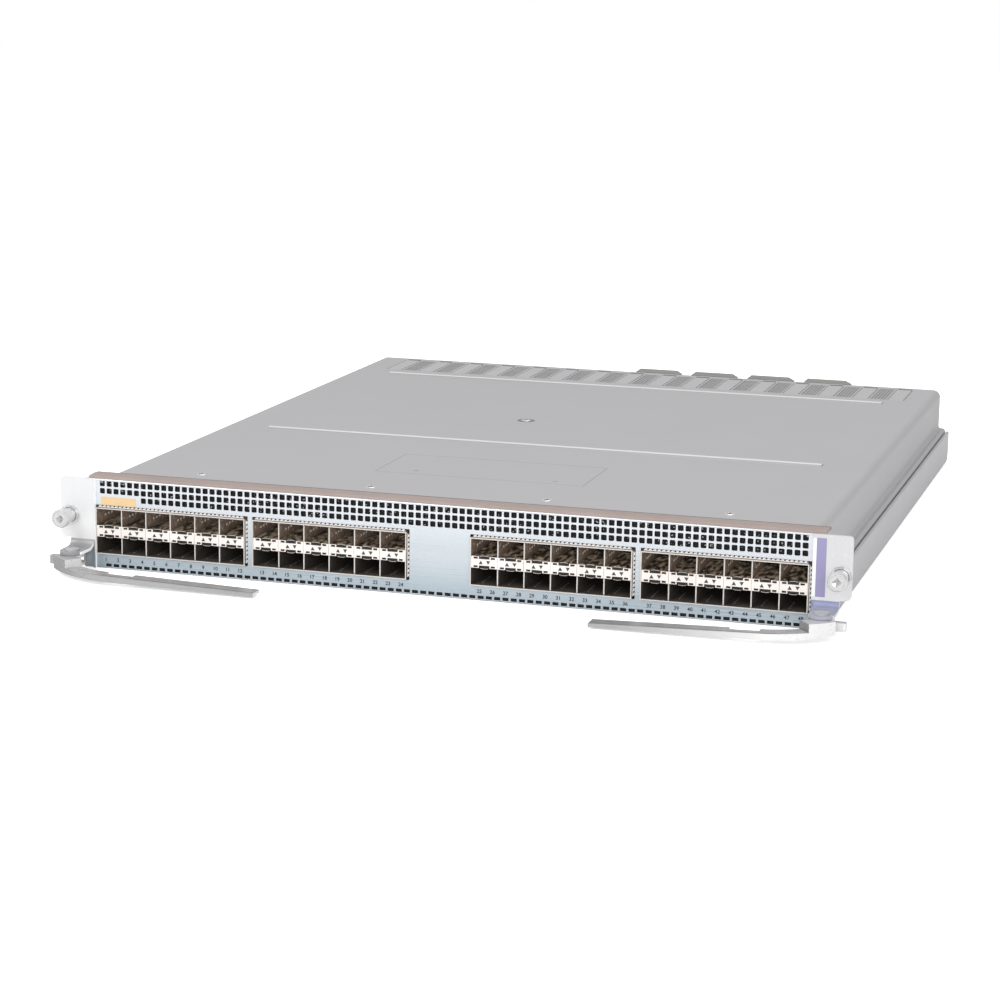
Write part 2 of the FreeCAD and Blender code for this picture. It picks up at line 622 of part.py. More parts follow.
def indicator_band(x):
    """Pale light guide between the upper and lower ports: one face, and a block per column."""
    half = (CAGE_INNER_WIDTH - JOIN_GAP) / 2
    points = [(x + half, BAND_FRONT_Y), (x + half, DIVIDER_FRONT_Y)]
    for here in reversed(column_x(x)):
        right, left = here + (PORT_WIDTH - JOIN_GAP) / 2, here - (PORT_WIDTH - JOIN_GAP) / 2
        points += [(right, DIVIDER_FRONT_Y), (right, CONNECTOR_FRONT_Y),
                   (left, CONNECTOR_FRONT_Y), (left, DIVIDER_FRONT_Y)]
    points += [(x - half, DIVIDER_FRONT_Y), (x - half, BAND_FRONT_Y)]
    return along_z(rounded_face(points, [0] * len(points), "xy"), BAND_BOTTOM, BAND_TOP)


def port_connectors():
    """Stacked edge connectors at the back of each port column."""
    blocks = []
    depth = CONNECTOR_REAR_Y - CONNECTOR_FRONT_Y
    for here in [here for x in GROUP_X for here in column_x(x)]:
        block = centred_box(here, CONNECTOR_FRONT_Y + depth / 2, CAGE_FLOOR, PORT_CONNECTOR_WIDTH,
                            depth, BAND_TOP + LOWER_PORT_HEIGHT / 2 - CAGE_FLOOR)
        blocks.append(block)
    return Part.makeCompound(blocks)


def cage_gaskets():
    """Spring-finger frames that close the gap between each cage and its window."""
    rings = []
    for x in GROUP_X:
        ring = cage_window(x, GASKET_RING_SETBACK, FACE_SHEET, GASKET_RING_SIDE - JOIN_GAP)
        rings.append(ring.cut(cage_window(x, 0, FACE_SHEET + 1, JOIN_GAP)))
    return Part.makeCompound(rings)


# ---- End brackets, levers and screws (right side, mirrored for the left) ----

def end_bracket():
    """Ear and curved shelf bent from one sheet, with the lever's pivot in the shelf's nose."""
    ear = rounded_face([(BRACKET_INNER_X, EAR_BOTTOM), (BRACKET_OUTER_X, EAR_BOTTOM),
                        (BRACKET_OUTER_X, BRACKET_TOP), (BRACKET_INNER_X, BRACKET_TOP)],
                       [0, EAR_LOWER_RADIUS, EAR_TOP_RADIUS, 0], "xz")
    ear = along_y(ear, EAR_FRONT_Y, 0)
    strip = box(BRACKET_INNER_X, BRACKET_INNER_X + STRIP_WIDTH, EAR_FRONT_Y, 0, STRIP_BOTTOM, EAR_BOTTOM)
    bend = EAR_BOTTOM - SHELF_TOP
    curve = folded_face([(EAR_FRONT_Y, EAR_BOTTOM + 0.1), (EAR_FRONT_Y, SHELF_TOP), (PIVOT_Y, SHELF_TOP)],
                        BRACKET_SHEET, [bend], "yz")
    curve = along_x(curve, PIVOT_X - SHELF_NOSE_RADIUS, PIVOT_X + SHELF_NOSE_RADIUS)
    nose = post(PIVOT_X, PIVOT_Y, SHELF_BOTTOM, SHELF_TOP, SHELF_NOSE_RADIUS)
    bracket = joined([ear, strip, curve, nose])
    tools = [post(PIVOT_X, PIVOT_Y, SHELF_BOTTOM - 1, SHELF_TOP + 1, PIVOT_RADIUS),
             sided_rod(SCREW_X, EAR_FRONT_Y - 1, 1, SCREW_Z, SLEEVE_RADIUS, HEAD_SIDE_COUNT)]
    return bracket.cut(tools)


def arm_path():
    """Front edge of the lever in plan, from the tip round to the end of the head."""
    angle = math.radians(ARM_BEND_ANGLE)
    reach = ARM_BEND_RADIUS * math.tan(angle / 2)
    corner = (ARM_BEND_X + reach, LEVER_FRONT_Y)
    end = (corner[0] + reach * math.cos(angle), corner[1] + reach * math.sin(angle))
    return [(LEVER_TIP_X, LEVER_FRONT_Y), corner, end]


def arm_strip(width):
    """The lever's plan from its front edge inwards, as tall as the lever's whole space."""
    return along_z(folded_face(arm_path(), width, [ARM_BEND_RADIUS - width], "xy"), 0, LEVER_TOP)


def arm_level(low, high):
    """The space between two lines seen from the front, to take out of a strip."""
    points = low + high[::-1]
    return along_y(rounded_face(points, [0] * len(points), "xz"), LEVER_FRONT_Y - 1, 0)


def head_area(shift=0.0):
    """Everything of the lever outboard of its return wall, as a cutting block."""
    angle = math.radians(HEAD_RETURN_ANGLE)
    front_y = -math.sqrt(ARM_BEND_RADIUS ** 2 - (HEAD_START_X - ARM_BEND_X) ** 2)
    front_y += LEVER_FRONT_Y + ARM_BEND_RADIUS
    direction = V(math.cos(angle), math.sin(angle), 0)
    low = V(HEAD_START_X + shift, front_y, 0) - direction * ARM_WIDTH
    high = V(HEAD_START_X + shift, front_y, 0) + direction * 3 * ARM_WIDTH
    far = PIVOT_X + 3 * JAW_REACH
    corners = [(low.x, low.y), (far, low.y), (far, high.y), (high.x, high.y)]
    return along_z(rounded_face(corners, [0, 0, 0, 0], "xy"), 0, LEVER_TOP + 1)


def jaw():
    """Hook beside the pivot that levers against the chassis."""
    inner_x, tip_x = PIVOT_X + LEVER_BOSS_RADIUS / 2, PIVOT_X + JAW_REACH
    front_y, rear_y = PIVOT_Y - JAW_WIDTH / 2, PIVOT_Y + JAW_WIDTH / 2
    points = [(inner_x, front_y), (tip_x, front_y), (tip_x, rear_y), (inner_x, rear_y)]
    return along_z(rounded_face(points, [0, JAW_CORNER_RADIUS, JAW_CORNER_RADIUS, 0], "xy"),
                   WEB_BOTTOM_Z, LEVER_TOP - LEVER_SHEET)


def ejector_lever():
    """Bent sheet lever: drooping web, lip folded down in front, raised head over the pivot, jaw."""
    flat_x = PIVOT_X - WEB_FLAT_LENGTH
    head_x = PIVOT_X + JAW_REACH
    web_top = [(LEVER_TIP_X - 1, WEB_TIP_Z), (flat_x, WEB_HEAD_Z), (head_x, WEB_HEAD_Z)]
    web_low = [(x, z - LEVER_SHEET) for x, z in web_top]
    lip_low = [(LEVER_TIP_X - 1, LIP_TIP_Z), (ARM_BEND_X, LIP_ELBOW_Z), (head_x, LIP_HEAD_Z)]
    notch_x = PIVOT_X - NOTCH_START
    notch_y = LEVER_FRONT_Y + ARM_WIDTH - NOTCH_DEPTH
    notch = box(notch_x - NOTCH_LENGTH, notch_x, notch_y, notch_y + 2 * NOTCH_DEPTH, 0, LEVER_TOP)
    web = arm_strip(ARM_WIDTH).common(arm_level(web_low, web_top)).cut(notch)
    lip = arm_strip(LEVER_SHEET).common(arm_level(lip_low, web_top))
    whole_head = [(LEVER_TIP_X - 1, LEVER_TOP), (head_x, LEVER_TOP)]
    head_wall = arm_strip(LEVER_SHEET).common(arm_level(lip_low, whole_head)).common(head_area())
    return_wall = arm_strip(ARM_WIDTH).common(arm_level(web_low, whole_head))
    return_wall = return_wall.common(head_area()).cut(head_area(LEVER_SHEET))
    flange_low = [(x, z - LEVER_SHEET) for x, z in whole_head]
    flange = arm_strip(ARM_WIDTH).common(arm_level(flange_low, whole_head))
    upper_boss = sided_post(PIVOT_X, PIVOT_Y, LEVER_TOP - LEVER_SHEET, LEVER_TOP, LEVER_BOSS_RADIUS,
                            HEAD_SIDE_COUNT)
    flange = joined([flange, upper_boss]).common(head_area())
    lower_boss = sided_post(PIVOT_X, PIVOT_Y, WEB_BOTTOM_Z, WEB_HEAD_Z, LEVER_BOSS_RADIUS,
                            HEAD_SIDE_COUNT)
    lever = joined([web, lip, lower_boss, head_wall, return_wall, flange, jaw()])
    return lever.cut(post(PIVOT_X, PIVOT_Y, 0, LEVER_TOP + 1, PIVOT_RADIUS + PIVOT_CLEARANCE))


def pivot_pin():
    """Headed pin through the shelf and both flanges of the lever."""
    shank = post(PIVOT_X, PIVOT_Y, WEB_BOTTOM_Z, SHELF_TOP, PIVOT_RADIUS)
    head = sided_post(PIVOT_X, PIVOT_Y, SHELF_TOP, SHELF_TOP + PIVOT_HEAD_HEIGHT, PIVOT_HEAD_RADIUS,
                      HEAD_SIDE_COUNT)
    return joined([shank, head])


def screw_sleeve():
    """Flanged cup pressed into the ear; it holds the spring and guides the screw's neck."""
    flange = rod(SCREW_X, EAR_FRONT_Y - SLEEVE_FLANGE, EAR_FRONT_Y, SCREW_Z, SLEEVE_FLANGE_RADIUS)
    barrel = sided_rod(SCREW_X, EAR_FRONT_Y - SLEEVE_FLANGE / 2, SLEEVE_REAR_Y, SCREW_Z, SLEEVE_RADIUS,
                       HEAD_SIDE_COUNT)
    bore = sided_rod(SCREW_X, EAR_FRONT_Y - SLEEVE_FLANGE - 1, SLEEVE_FLOOR_Y, SCREW_Z,
                     SLEEVE_BORE_RADIUS, RING_SIDE_COUNT)
    hole = sided_rod(SCREW_X, 0, SLEEVE_REAR_Y + 1, SCREW_Z, SHANK_RADIUS + RUN_GAP, RING_SIDE_COUNT)
    return joined([flange, barrel]).cut([bore, hole])


def captive_screw():
    """Knob and neck in front of the ear, a thin shank through the cup and a thread behind it."""
    knob_rear = KNOB_FRONT_Y + KNOB_LENGTH
    knob = rod(SCREW_X, KNOB_FRONT_Y, knob_rear, SCREW_Z, KNOB_RADIUS)
    rim = [edge for edge in knob.Edges if abs(edge.CenterOfMass.y - KNOB_FRONT_Y) < 0.01]
    knob = knob.makeChamfer(KNOB_CHAMFER, rim)
    neck = sided_rod(SCREW_X, knob_rear, NECK_REAR_Y, SCREW_Z, NECK_RADIUS, HEAD_SIDE_COUNT)
    shank = sided_rod(SCREW_X, NECK_REAR_Y, THREAD_FRONT_Y, SCREW_Z,
                      SHANK_RADIUS * math.cos(math.pi / HEXAGON_SIDE_COUNT))
    thread = rod(SCREW_X, THREAD_FRONT_Y, THREAD_REAR_Y, SCREW_Z, THREAD_RADIUS)
    return joined([knob, neck, shank, thread])


def screw_washer():
    """Thrust washer between the neck and the spring; it slides but doesn't turn."""
    seat = NECK_REAR_Y + JOIN_GAP
    ring = sided_rod(SCREW_X, seat, seat + WASHER_THICKNESS, SCREW_Z, SLEEVE_BORE_RADIUS - RUN_GAP,
                     RING_SIDE_COUNT)
    return ring.cut(sided_rod(SCREW_X, seat - 1, seat + 2, SCREW_Z, SHANK_RADIUS + JOIN_GAP))


def screw_spring():
    """Coil spring in the cup, from its floor to the washer, in straight steps."""
    half = SPRING_WIRE / 2
    front = NECK_REAR_Y + WASHER_THICKNESS + 2 * JOIN_GAP + half
    rear = SLEEVE_FLOOR_Y - half - JOIN_GAP
    outer = SLEEVE_BORE_RADIUS - 2 * RUN_GAP
    inner = outer - SPRING_WIRE
    steps = SPRING_TURN_COUNT * SPRING_STEP_COUNT
    rings = []
    for index in range(steps + 1):
        turn = 2 * math.pi * index / SPRING_STEP_COUNT
        y = front + (rear - front) * index / steps
        rings.append([V(SCREW_X + radius * math.cos(turn), y + rise, SCREW_Z + radius * math.sin(turn))
                      for radius, rise in ((inner, -half), (outer, -half), (outer, half), (inner, half))])
    corners = [(rings[0][0], rings[0][1], rings[0][2]), (rings[0][0], rings[0][2], rings[0][3]),
               (rings[-1][0], rings[-1][2], rings[-1][1]), (rings[-1][0], rings[-1][3], rings[-1][2])]
    for near, far in zip(rings, rings[1:]):
        for side in range(4):
            follow = (side + 1) % 4
            corners.append((near[side], far[side], far[follow]))
            corners.append((near[side], far[follow], near[follow]))
    faces = [Part.Face(Part.makePolygon(list(three) + [three[0]])) for three in corners]
    coil = Part.makeSolid(Part.makeShell(faces))
    return coil if coil.Volume > 0 else coil.reversed()


# ---- Components on the board ----

def chip_places():
    return [(x, FORWARDING_CHIP_Y) for x in GROUP_X]


def forwarding_chips():
    return Part.makeCompound([centred_box(x, y, BOARD_TOP, FORWARDING_CHIP_SIZE, FORWARDING_CHIP_SIZE,
                                          FORWARDING_CHIP_HEIGHT) for x, y in chip_places()])


def heat_sink(x, y, z, width, depth, height):
    """Extruded comb of fins that run front to back."""
    count = int((width - FIN_THICKNESS) // FIN_PITCH) + 1
    spacing = (width - FIN_THICKNESS) / (count - 1)
    points = [(x - width / 2, z), (x + width / 2, z)]
    for index in reversed(range(count)):
        left = x - width / 2 + index * spacing
        right = left + FIN_THICKNESS
        points += [(right, z + height), (left, z + height)]
        if index > 0:
            points += [(left, z + SINK_BASE), (left - spacing + FIN_THICKNESS, z + SINK_BASE)]
    face = rounded_face(points, [0] * len(points), "xz")
    return along_y(face, y - depth / 2, y + depth / 2)


def heat_sinks():
    return Part.makeCompound([heat_sink(x, y, BOARD_TOP + FORWARDING_CHIP_HEIGHT, HEAT_SINK_WIDTH,
                                        HEAT_SINK_DEPTH, HEAT_SINK_HEIGHT) for x, y in chip_places()])


def fabric_chip():
    return centred_box(FABRIC_CHIP_X, FABRIC_CHIP_Y, BOARD_TOP, FABRIC_CHIP_SIZE, FABRIC_CHIP_SIZE,
                       FORWARDING_CHIP_HEIGHT)


def memory_chips():
    width, depth, height = MEMORY_SIZE
    return Part.makeCompound([centred_box(x + offset * MEMORY_PITCH, MEMORY_Y, BOARD_TOP, width, depth, height)
                              for x in GROUP_X for offset in (-1, 0, 1)])


def converter_places():
    return [(CONVERTER_X + index * CONVERTER_PITCH, CONVERTER_Y) for index in range(CONVERTER_COUNT)]


def power_converters():
    width, depth, height = CONVERTER_SIZE
    return Part.makeCompound([centred_box(x, y, BOARD_TOP, width, depth, height)
                              for x, y in converter_places()])


def bulk_capacitors():
    width, depth, height = CAPACITOR_SIZE
    y = CONVERTER_Y + CONVERTER_SIZE[1] / 2 + CAPACITOR_PITCH
    middle = CONVERTER_X + CONVERTER_PITCH * (CONVERTER_COUNT - 1) / 2
    first = middle - CAPACITOR_PITCH * (CAPACITOR_COUNT - 1) / 2
    return Part.makeCompound([centred_box(first + index * CAPACITOR_PITCH, y, BOARD_TOP,
                                          width, depth, height) for index in range(CAPACITOR_COUNT)])


def control_board():
    width, depth = CONTROL_BOARD_SIZE
    return centred_box(CONTROL_BOARD_X, CONTROL_BOARD_Y, BOARD_TOP + CONTROL_BOARD_LIFT, width, depth,
                       CONTROL_BOARD_THICKNESS)


def control_board_posts():
    width, depth = CONTROL_BOARD_SIZE
    inset = 2 * STANDOFF_RADIUS
    return Part.makeCompound([sided_post(CONTROL_BOARD_X + sx * (width / 2 - inset),
                                         CONTROL_BOARD_Y + sy * (depth / 2 - inset), BOARD_TOP,
                                         BOARD_TOP + CONTROL_BOARD_LIFT, STANDOFF_RADIUS)
                              for sx in (-1, 1) for sy in (-1, 1)])


def control_chip():
    return centred_box(CONTROL_BOARD_X, CONTROL_BOARD_Y,
                       BOARD_TOP + CONTROL_BOARD_LIFT + CONTROL_BOARD_THICKNESS,
                       CONTROL_CHIP_SIZE, CONTROL_CHIP_SIZE, FORWARDING_CHIP_HEIGHT)


# ---- Rear connectors ----

def backplane_connector(x):
    """Connector block with upright contact slots, a raised hood and a bevelled key corner."""
    left, right = x - BACKPLANE_WIDTH / 2, x + BACKPLANE_WIDTH / 2
    front, rear = REAR_REACH - BACKPLANE_LENGTH, REAR_REACH
    top = BOARD_TOP + BACKPLANE_HEIGHT
    block = box(left, right, front, rear, BOARD_TOP, top)
    hood = box(left, right, CARD_DEPTH + FIT_GAP, rear, top, top + HOOD_HEIGHT)
    key_width, key_depth = KEY_CORNER
    key = rounded_face([(right - key_width, rear), (right, rear - key_depth), (right + 1, rear - key_depth),
                        (right + 1, rear + 1), (right - key_width, rear + 1)], [0] * 5, "xy")
    pitch = (BACKPLANE_WIDTH - key_width) / BACKPLANE_SLOT_COUNT
    slots = []
    for index in range(BACKPLANE_SLOT_COUNT):
        middle = left + (index + 0.5) * pitch
        slots.append(box(middle - BACKPLANE_SLOT_WIDTH / 2, middle + BACKPLANE_SLOT_WIDTH / 2,
                         rear - BACKPLANE_SLOT_DEPTH, rear + 1, BOARD_TOP + BACKPLANE_SLOT_WIDTH,
                         top - BACKPLANE_SLOT_WIDTH))
    return joined([block, hood]).cut([along_z(key, 0, COVER_TOP + HOOD_HEIGHT)] + slots)


def power_socket():
    """Power connector with two blade slots, low on the board's rear edge."""
    width, depth, height = POWER_SOCKET_SIZE
    rear = CARD_DEPTH + SOCKET_REACH
    block = box(POWER_SOCKET_X - width / 2, POWER_SOCKET_X + width / 2, rear - depth, rear,
                BOARD_TOP, BOARD_TOP + height)
    slots = [box(POWER_SOCKET_X + sx * width / 4 - width / 6, POWER_SOCKET_X + sx * width / 4 + width / 6,
                 rear - depth / 2, rear + 1, BOARD_TOP + height / 3, BOARD_TOP + 2 * height / 3)
             for sx in (-1, 1)]
    return block.cut(slots)


def guide_sockets():
    """Blocks with a square bore for the backplane's guide blades."""
    width, depth, height = GUIDE_SOCKET_SIZE
    rear = CARD_DEPTH + SOCKET_REACH
    blocks = []
    for x in GUIDE_SOCKET_X:
        block = box(x - width / 2, x + width / 2, rear - depth, rear, BOARD_TOP, BOARD_TOP + height)
        bore = centred_box(x, rear, BOARD_TOP + (height - GUIDE_BORE_SIZE) / 2, GUIDE_BORE_SIZE,
                           1.5 * depth, GUIDE_BORE_SIZE)
        blocks.append(block.cut(bore))
    return Part.makeCompound(blocks)


# ---- Assembly ----

def parts():
    made = {"base_tray": base_tray(), "top_cover": top_cover(), "rear_panel": rear_panel(),
            "cover_posts": cover_posts(), "cover_screws": cover_screws(), "faceplate": faceplate(),
            "top_gasket": top_gasket(), "main_circuit_board": board_outline(),
            "board_standoffs": board_standoffs(), "forwarding_chips": forwarding_chips(),
            "fabric_chip": fabric_chip(), "memory_chips": memory_chips(),
            "power_converters": power_converters(), "bulk_capacitors": bulk_capacitors(),
            "control_board": control_board(), "control_board_posts": control_board_posts(),
            "control_chip": control_chip(), "power_socket": power_socket(),
            "guide_sockets": guide_sockets(),
            "port_connectors": port_connectors(), "cage_gaskets": cage_gaskets(),
            "heat_sinks": heat_sinks()}
    for number, x in enumerate(GROUP_X, 1):
        made[f"port_cage_{number}"] = port_cage(x)
        made[f"cage_dividers_{number}"] = cage_dividers(x)
        made[f"indicator_bands_{number}"] = indicator_band(x)
    made["fabric_heat_sink"] = heat_sink(FABRIC_CHIP_X, FABRIC_CHIP_Y, BOARD_TOP + FORWARDING_CHIP_HEIGHT,
                                         FABRIC_SINK_SIZE, FABRIC_SINK_SIZE, HEAT_SINK_HEIGHT)
    for number, x in enumerate(BACKPLANE_X, 1):
        made[f"backplane_connector_{number}"] = backplane_connector(x)
    for name, shape in (("pivot_pins", pivot_pin()), ("screw_sleeves", screw_sleeve())):
        made[name] = Part.makeCompound([shape, mirrored(shape)])
    right_side = {"end_bracket": end_bracket(), "ejector_lever": ejector_lever(),
                  "captive_screw": captive_screw(), "screw_washer": screw_washer(),
                  "screw_spring": screw_spring()}
    for name, shape in right_side.items():
        made[f"right_{name}"] = shape
        made[f"left_{name}"] = mirrored(shape)
    return made


os.makedirs("parts", exist_ok=True)
for node, shape in parts().items():
    shape.translated(TO_ORIGIN).exportStep(f"parts/{node}.step")
print(f"origin shift {TO_ORIGIN.y:.3f} mm along Y")
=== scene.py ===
import math
import json

import bmesh
import bpy
from mathutils import Matrix, Vector


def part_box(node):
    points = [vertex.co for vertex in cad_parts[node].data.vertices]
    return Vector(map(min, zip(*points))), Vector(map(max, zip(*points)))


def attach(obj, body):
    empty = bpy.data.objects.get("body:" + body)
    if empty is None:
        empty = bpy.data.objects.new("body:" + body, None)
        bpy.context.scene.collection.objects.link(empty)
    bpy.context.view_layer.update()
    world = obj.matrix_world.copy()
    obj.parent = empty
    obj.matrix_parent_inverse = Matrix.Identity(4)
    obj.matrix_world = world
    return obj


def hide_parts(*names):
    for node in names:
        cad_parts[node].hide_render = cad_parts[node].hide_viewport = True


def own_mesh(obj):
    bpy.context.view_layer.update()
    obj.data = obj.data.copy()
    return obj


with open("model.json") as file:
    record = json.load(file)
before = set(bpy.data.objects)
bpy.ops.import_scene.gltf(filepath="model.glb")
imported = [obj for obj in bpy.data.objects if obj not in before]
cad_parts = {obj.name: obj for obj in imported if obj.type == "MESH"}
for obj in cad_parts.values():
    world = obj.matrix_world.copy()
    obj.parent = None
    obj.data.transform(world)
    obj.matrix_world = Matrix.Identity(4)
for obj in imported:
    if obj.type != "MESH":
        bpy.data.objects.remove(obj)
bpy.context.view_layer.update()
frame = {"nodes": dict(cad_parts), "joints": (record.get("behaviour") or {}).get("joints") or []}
MM = 0.001

# The stand and the light: a pale floor under the card, soft lamps above and in front, and a
# camera low in front of it, a little to its right. The card's front face sets the camera's place.
scene = bpy.context.scene
scene.view_settings.view_transform = "Standard"
front_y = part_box("faceplate")[0].y
CAMERA_PLACE = Vector((411.6, -1266.6, 333.0)) * MM
CAMERA_TURN, CAMERA_DIP, CAMERA_ROLL = (math.radians(a) for a in (16.6677, 11.8994, -0.7871))
CAMERA_LENS = 94.35


def camera_axes(turn, dip, roll):
    """Right, up and back directions of a camera turned left, tipped down and rolled."""
    ahead = Vector((-math.sin(turn) * math.cos(dip), math.cos(turn) * math.cos(dip), -math.sin(dip)))
    level = Vector((math.cos(turn), math.sin(turn), 0))
    below = ahead.cross(level)
    right = math.cos(roll) * level + math.sin(roll) * below
    down = -math.sin(roll) * level + math.cos(roll) * below
    return right, -down, -ahead


camera = bpy.data.objects.new("camera", bpy.data.cameras.new("camera"))
camera.data.lens = CAMERA_LENS
camera.data.sensor_width = 36
camera.data.clip_end = 20
place = CAMERA_PLACE + Vector((0, front_y, 0))
axes = camera_axes(CAMERA_TURN, CAMERA_DIP, CAMERA_ROLL)
camera.matrix_world = Matrix.Translation(place) @ Matrix([*zip(*axes)]).to_4x4()
scene.collection.objects.link(camera)
scene.camera = camera


class Socket:
    """One output of a shader node; arithmetic on it adds the Math nodes that work it out."""

    def __init__(self, finish, output):
        self.finish, self.output = finish, output

    def math(self, operation, *values):
        return self.finish.node("ShaderNodeMath", {"operation": operation}, dict(enumerate(values)))

    def __add__(self, other):
        return self.math("ADD", self, other)

    def __sub__(self, other):
        return self.math("SUBTRACT", self, other)

    def __rsub__(self, other):
        return self.math("SUBTRACT", other, self)

    def __mul__(self, other):
        return self.math("MULTIPLY", self, other)

    def __gt__(self, other):
        return self.math("GREATER_THAN", self, other)

    def __lt__(self, other):
        return self.math("LESS_THAN", self, other)

    __radd__ = __add__
    __rmul__ = __mul__


class Finish:
    """A material with one Principled shader, whose sockets take numbers, colours or links."""

    def __init__(self, name, **sockets):
        self.material = bpy.data.materials.new(name)
        self.material.use_nodes = True
        self.tree = self.material.node_tree
        self.shader = self.tree.nodes["Principled BSDF"]
        self.set(**sockets)

    def plug(self, target, value):
        if isinstance(value, Socket):
            self.tree.links.new(value.output, target)
        elif isinstance(value, (tuple, list)) and len(value) == 3 and target.type == "RGBA":
            target.default_value = (*value, 1)
        else:
            target.default_value = value

    def set(self, **sockets):
        for name, value in sockets.items():
            self.plug(self.shader.inputs[name.replace("_", " ").title()], value)
        return self

    def node(self, kind, settings=None, sockets=None, output=0):
        """Adds a node: its settings first, then its sockets, by name or number."""
        made = self.tree.nodes.new(kind)
        for name, value in (settings or {}).items():
            setattr(made, name, value)
        for name, value in (sockets or {}).items():
            self.plug(made.inputs[name], value)
        return Socket(self, made.outputs[output])

    def spot(self):
        return self.node("ShaderNodeTexCoord", output="Object")

    def axis(self, letter):
        """Place along one axis, in millimetres of the frame."""
        return self.node("ShaderNodeSeparateXYZ", {}, {0: self.spot()}, output=letter) * (1 / MM)

    def depth(self):
        """How far behind the faceplate's front, in millimetres."""
        return self.axis("Y") - front_y / MM

    def facing(self, letter):
        """How far the surface looks along one axis, from -1 to 1."""
        normal = self.node("ShaderNodeNewGeometry", output="Normal")
        return self.node("ShaderNodeSeparateXYZ", {}, {0: normal}, output=letter)

    def noise(self, size, detail=2.0, stretch=(1, 1, 1)):
        """Noise whose patches are about size metres across, from 0 to 1."""
        scaled = self.node("ShaderNodeMapping", {}, {"Vector": self.spot(), "Scale": stretch})
        return self.node("ShaderNodeTexNoise", {}, {"Vector": scaled, "Scale": 1 / size, "Detail": detail})

    def blend(self, amount, first, second):
        return self.node("ShaderNodeMix", {"data_type": "RGBA"}, {0: amount, 6: first, 7: second}, output=2)

    def relief(self, height, depth):
        """Bump of that depth in metres where height goes from 0 to 1."""
        bump = self.node("ShaderNodeBump", {}, {"Strength": 1.0, "Distance": depth, "Height": height})
        return self.set(normal=bump)


def lamp(name, place, aim, size, power, colour=(1, 1, 1)):
    data = bpy.data.lights.new(name, "AREA")
    data.shape, data.size, data.energy, data.color = "DISK", size, power, colour
    made = bpy.data.objects.new(name, data)
    made.location = place
    made.rotation_euler = (Vector(aim) - Vector(place)).to_track_quat("-Z", "Y").to_euler()
    scene.collection.objects.link(made)


FLOOR_HALF_SIZE, FLOOR_GLOW, SKY_LIGHT = 6, 0.55, 0.62
lamp("key_lamp", (-0.9, -1.6, 1.6), (0, 0, 0), 1.4, 22)
lamp("front_lamp", (0.9, -2.0, 0.7), (0, 0, 0), 1.2, 12)
lamp("top_lamp", (0.2, 0.4, 1.9), (0, 0, 0), 1.6, 10)

world = bpy.data.worlds.new("studio")
world.use_nodes = True
scene.world = world
sky = world.node_tree.nodes
sky["Background"].inputs["Color"].default_value = (1, 1, 1, 1)
direct = sky.new("ShaderNodeLightPath")
level = sky.new("ShaderNodeMapRange")
level.inputs["To Min"].default_value = SKY_LIGHT
world.node_tree.links.new(direct.outputs["Is Camera Ray"], level.inputs["Value"])
world.node_tree.links.new(level.outputs["Result"], sky["Background"].inputs["Strength"])

floor_mesh = bmesh.new()
bmesh.ops.create_grid(floor_mesh, x_segments=1, y_segments=1, size=FLOOR_HALF_SIZE)
floor = bpy.data.objects.new("floor", bpy.data.meshes.new("floor"))
floor_mesh.to_mesh(floor.data)
scene.collection.objects.link(floor)
paper = Finish("pale_floor", base_color=(0.9, 0.9, 0.9), roughness=0.9)
rays = paper.node("ShaderNodeLightPath", output="Is Camera Ray")
glow = paper.node("ShaderNodeEmission", {}, {"Color": (1, 1, 1), "Strength": FLOOR_GLOW})
plain = Socket(paper, paper.shader.outputs[0])
both = paper.node("ShaderNodeAddShader", {}, {0: plain, 1: glow})
seen = paper.node("ShaderNodeMixShader", {}, {0: rays, 1: plain, 2: both})
paper.tree.links.new(seen.output, paper.tree.nodes["Material Output"].inputs["Surface"])
floor.data.materials.append(paper.material)

# The base tray and the rear panel: steel sheet, folded up at its edges and joined by screws, that
# everything else is fixed to, and the levers' turned pins. Rolled sheet has a fine grain that runs
# one way, cloudy plating and duller marks of handling.


def srgb(red, green, blue):
    """A colour given as it looks, 0 to 255, in the linear values that shaders take."""
    return tuple(c / 12.92 if c <= 0.04045 else ((c + 0.055) / 1.055) ** 2.4
                 for c in (red / 255, green / 255, blue / 255))


def metal(name, colour, grain="x", shine=0.35, spread=0.06, metallic=0.25, relief=0.00001, tint=None):
    made = Finish(name, metallic=metallic)
    stretch = {"x": (1, 60, 60), "y": (60, 1, 60), "z": (60, 60, 1)}[grain]
    streaks = made.noise(0.06, 4.0, stretch)
    clouds = made.noise(0.05, 3.0)
    specks = made.noise(0.0006, 2.0)
    shade = (streaks - 0.5) * spread + (clouds - 0.5) * spread + (specks - 0.5) * (spread * 0.5)
    base = tint(made, srgb(*colour)) if tint else srgb(*colour)
    dark, light = made.blend(0.3, base, (0, 0, 0)), made.blend(0.25, base, (1, 1, 1))
    made.set(base_color=made.blend(shade * 3 + 0.5, dark, light))
    made.set(roughness=shine + (streaks - 0.5) * 0.2 + (clouds - 0.5) * 0.15)
    return made.relief(streaks * 0.6 + specks * 0.4, relief)


def soften(made, width, steps=2):
    """Rounds the edges over 40 degrees of a piece or a CAD node by a modifier."""
    edge = made.modifiers.new("soft_edges", "BEVEL")
    edge.width, edge.segments = width * MM, steps
    edge.limit_method, edge.angle_limit = "ANGLE", math.radians(40)
    edge.harden_normals = True


def coat(finish, *nodes, bevel=0.0):
    """Gives CAD nodes their material and, where given, softened edges."""
    for name in nodes:
        slots = frame["nodes"][name].data.materials
        slots.clear()
        slots.append(finish.material)
        if bevel:
            soften(frame["nodes"][name], bevel)


tray_steel = metal("tray_sheet", (188, 188, 192), grain="y", shine=0.42, spread=0.03)
coat(tray_steel, "base_tray", "rear_panel", "pivot_pins", bevel=0.2)

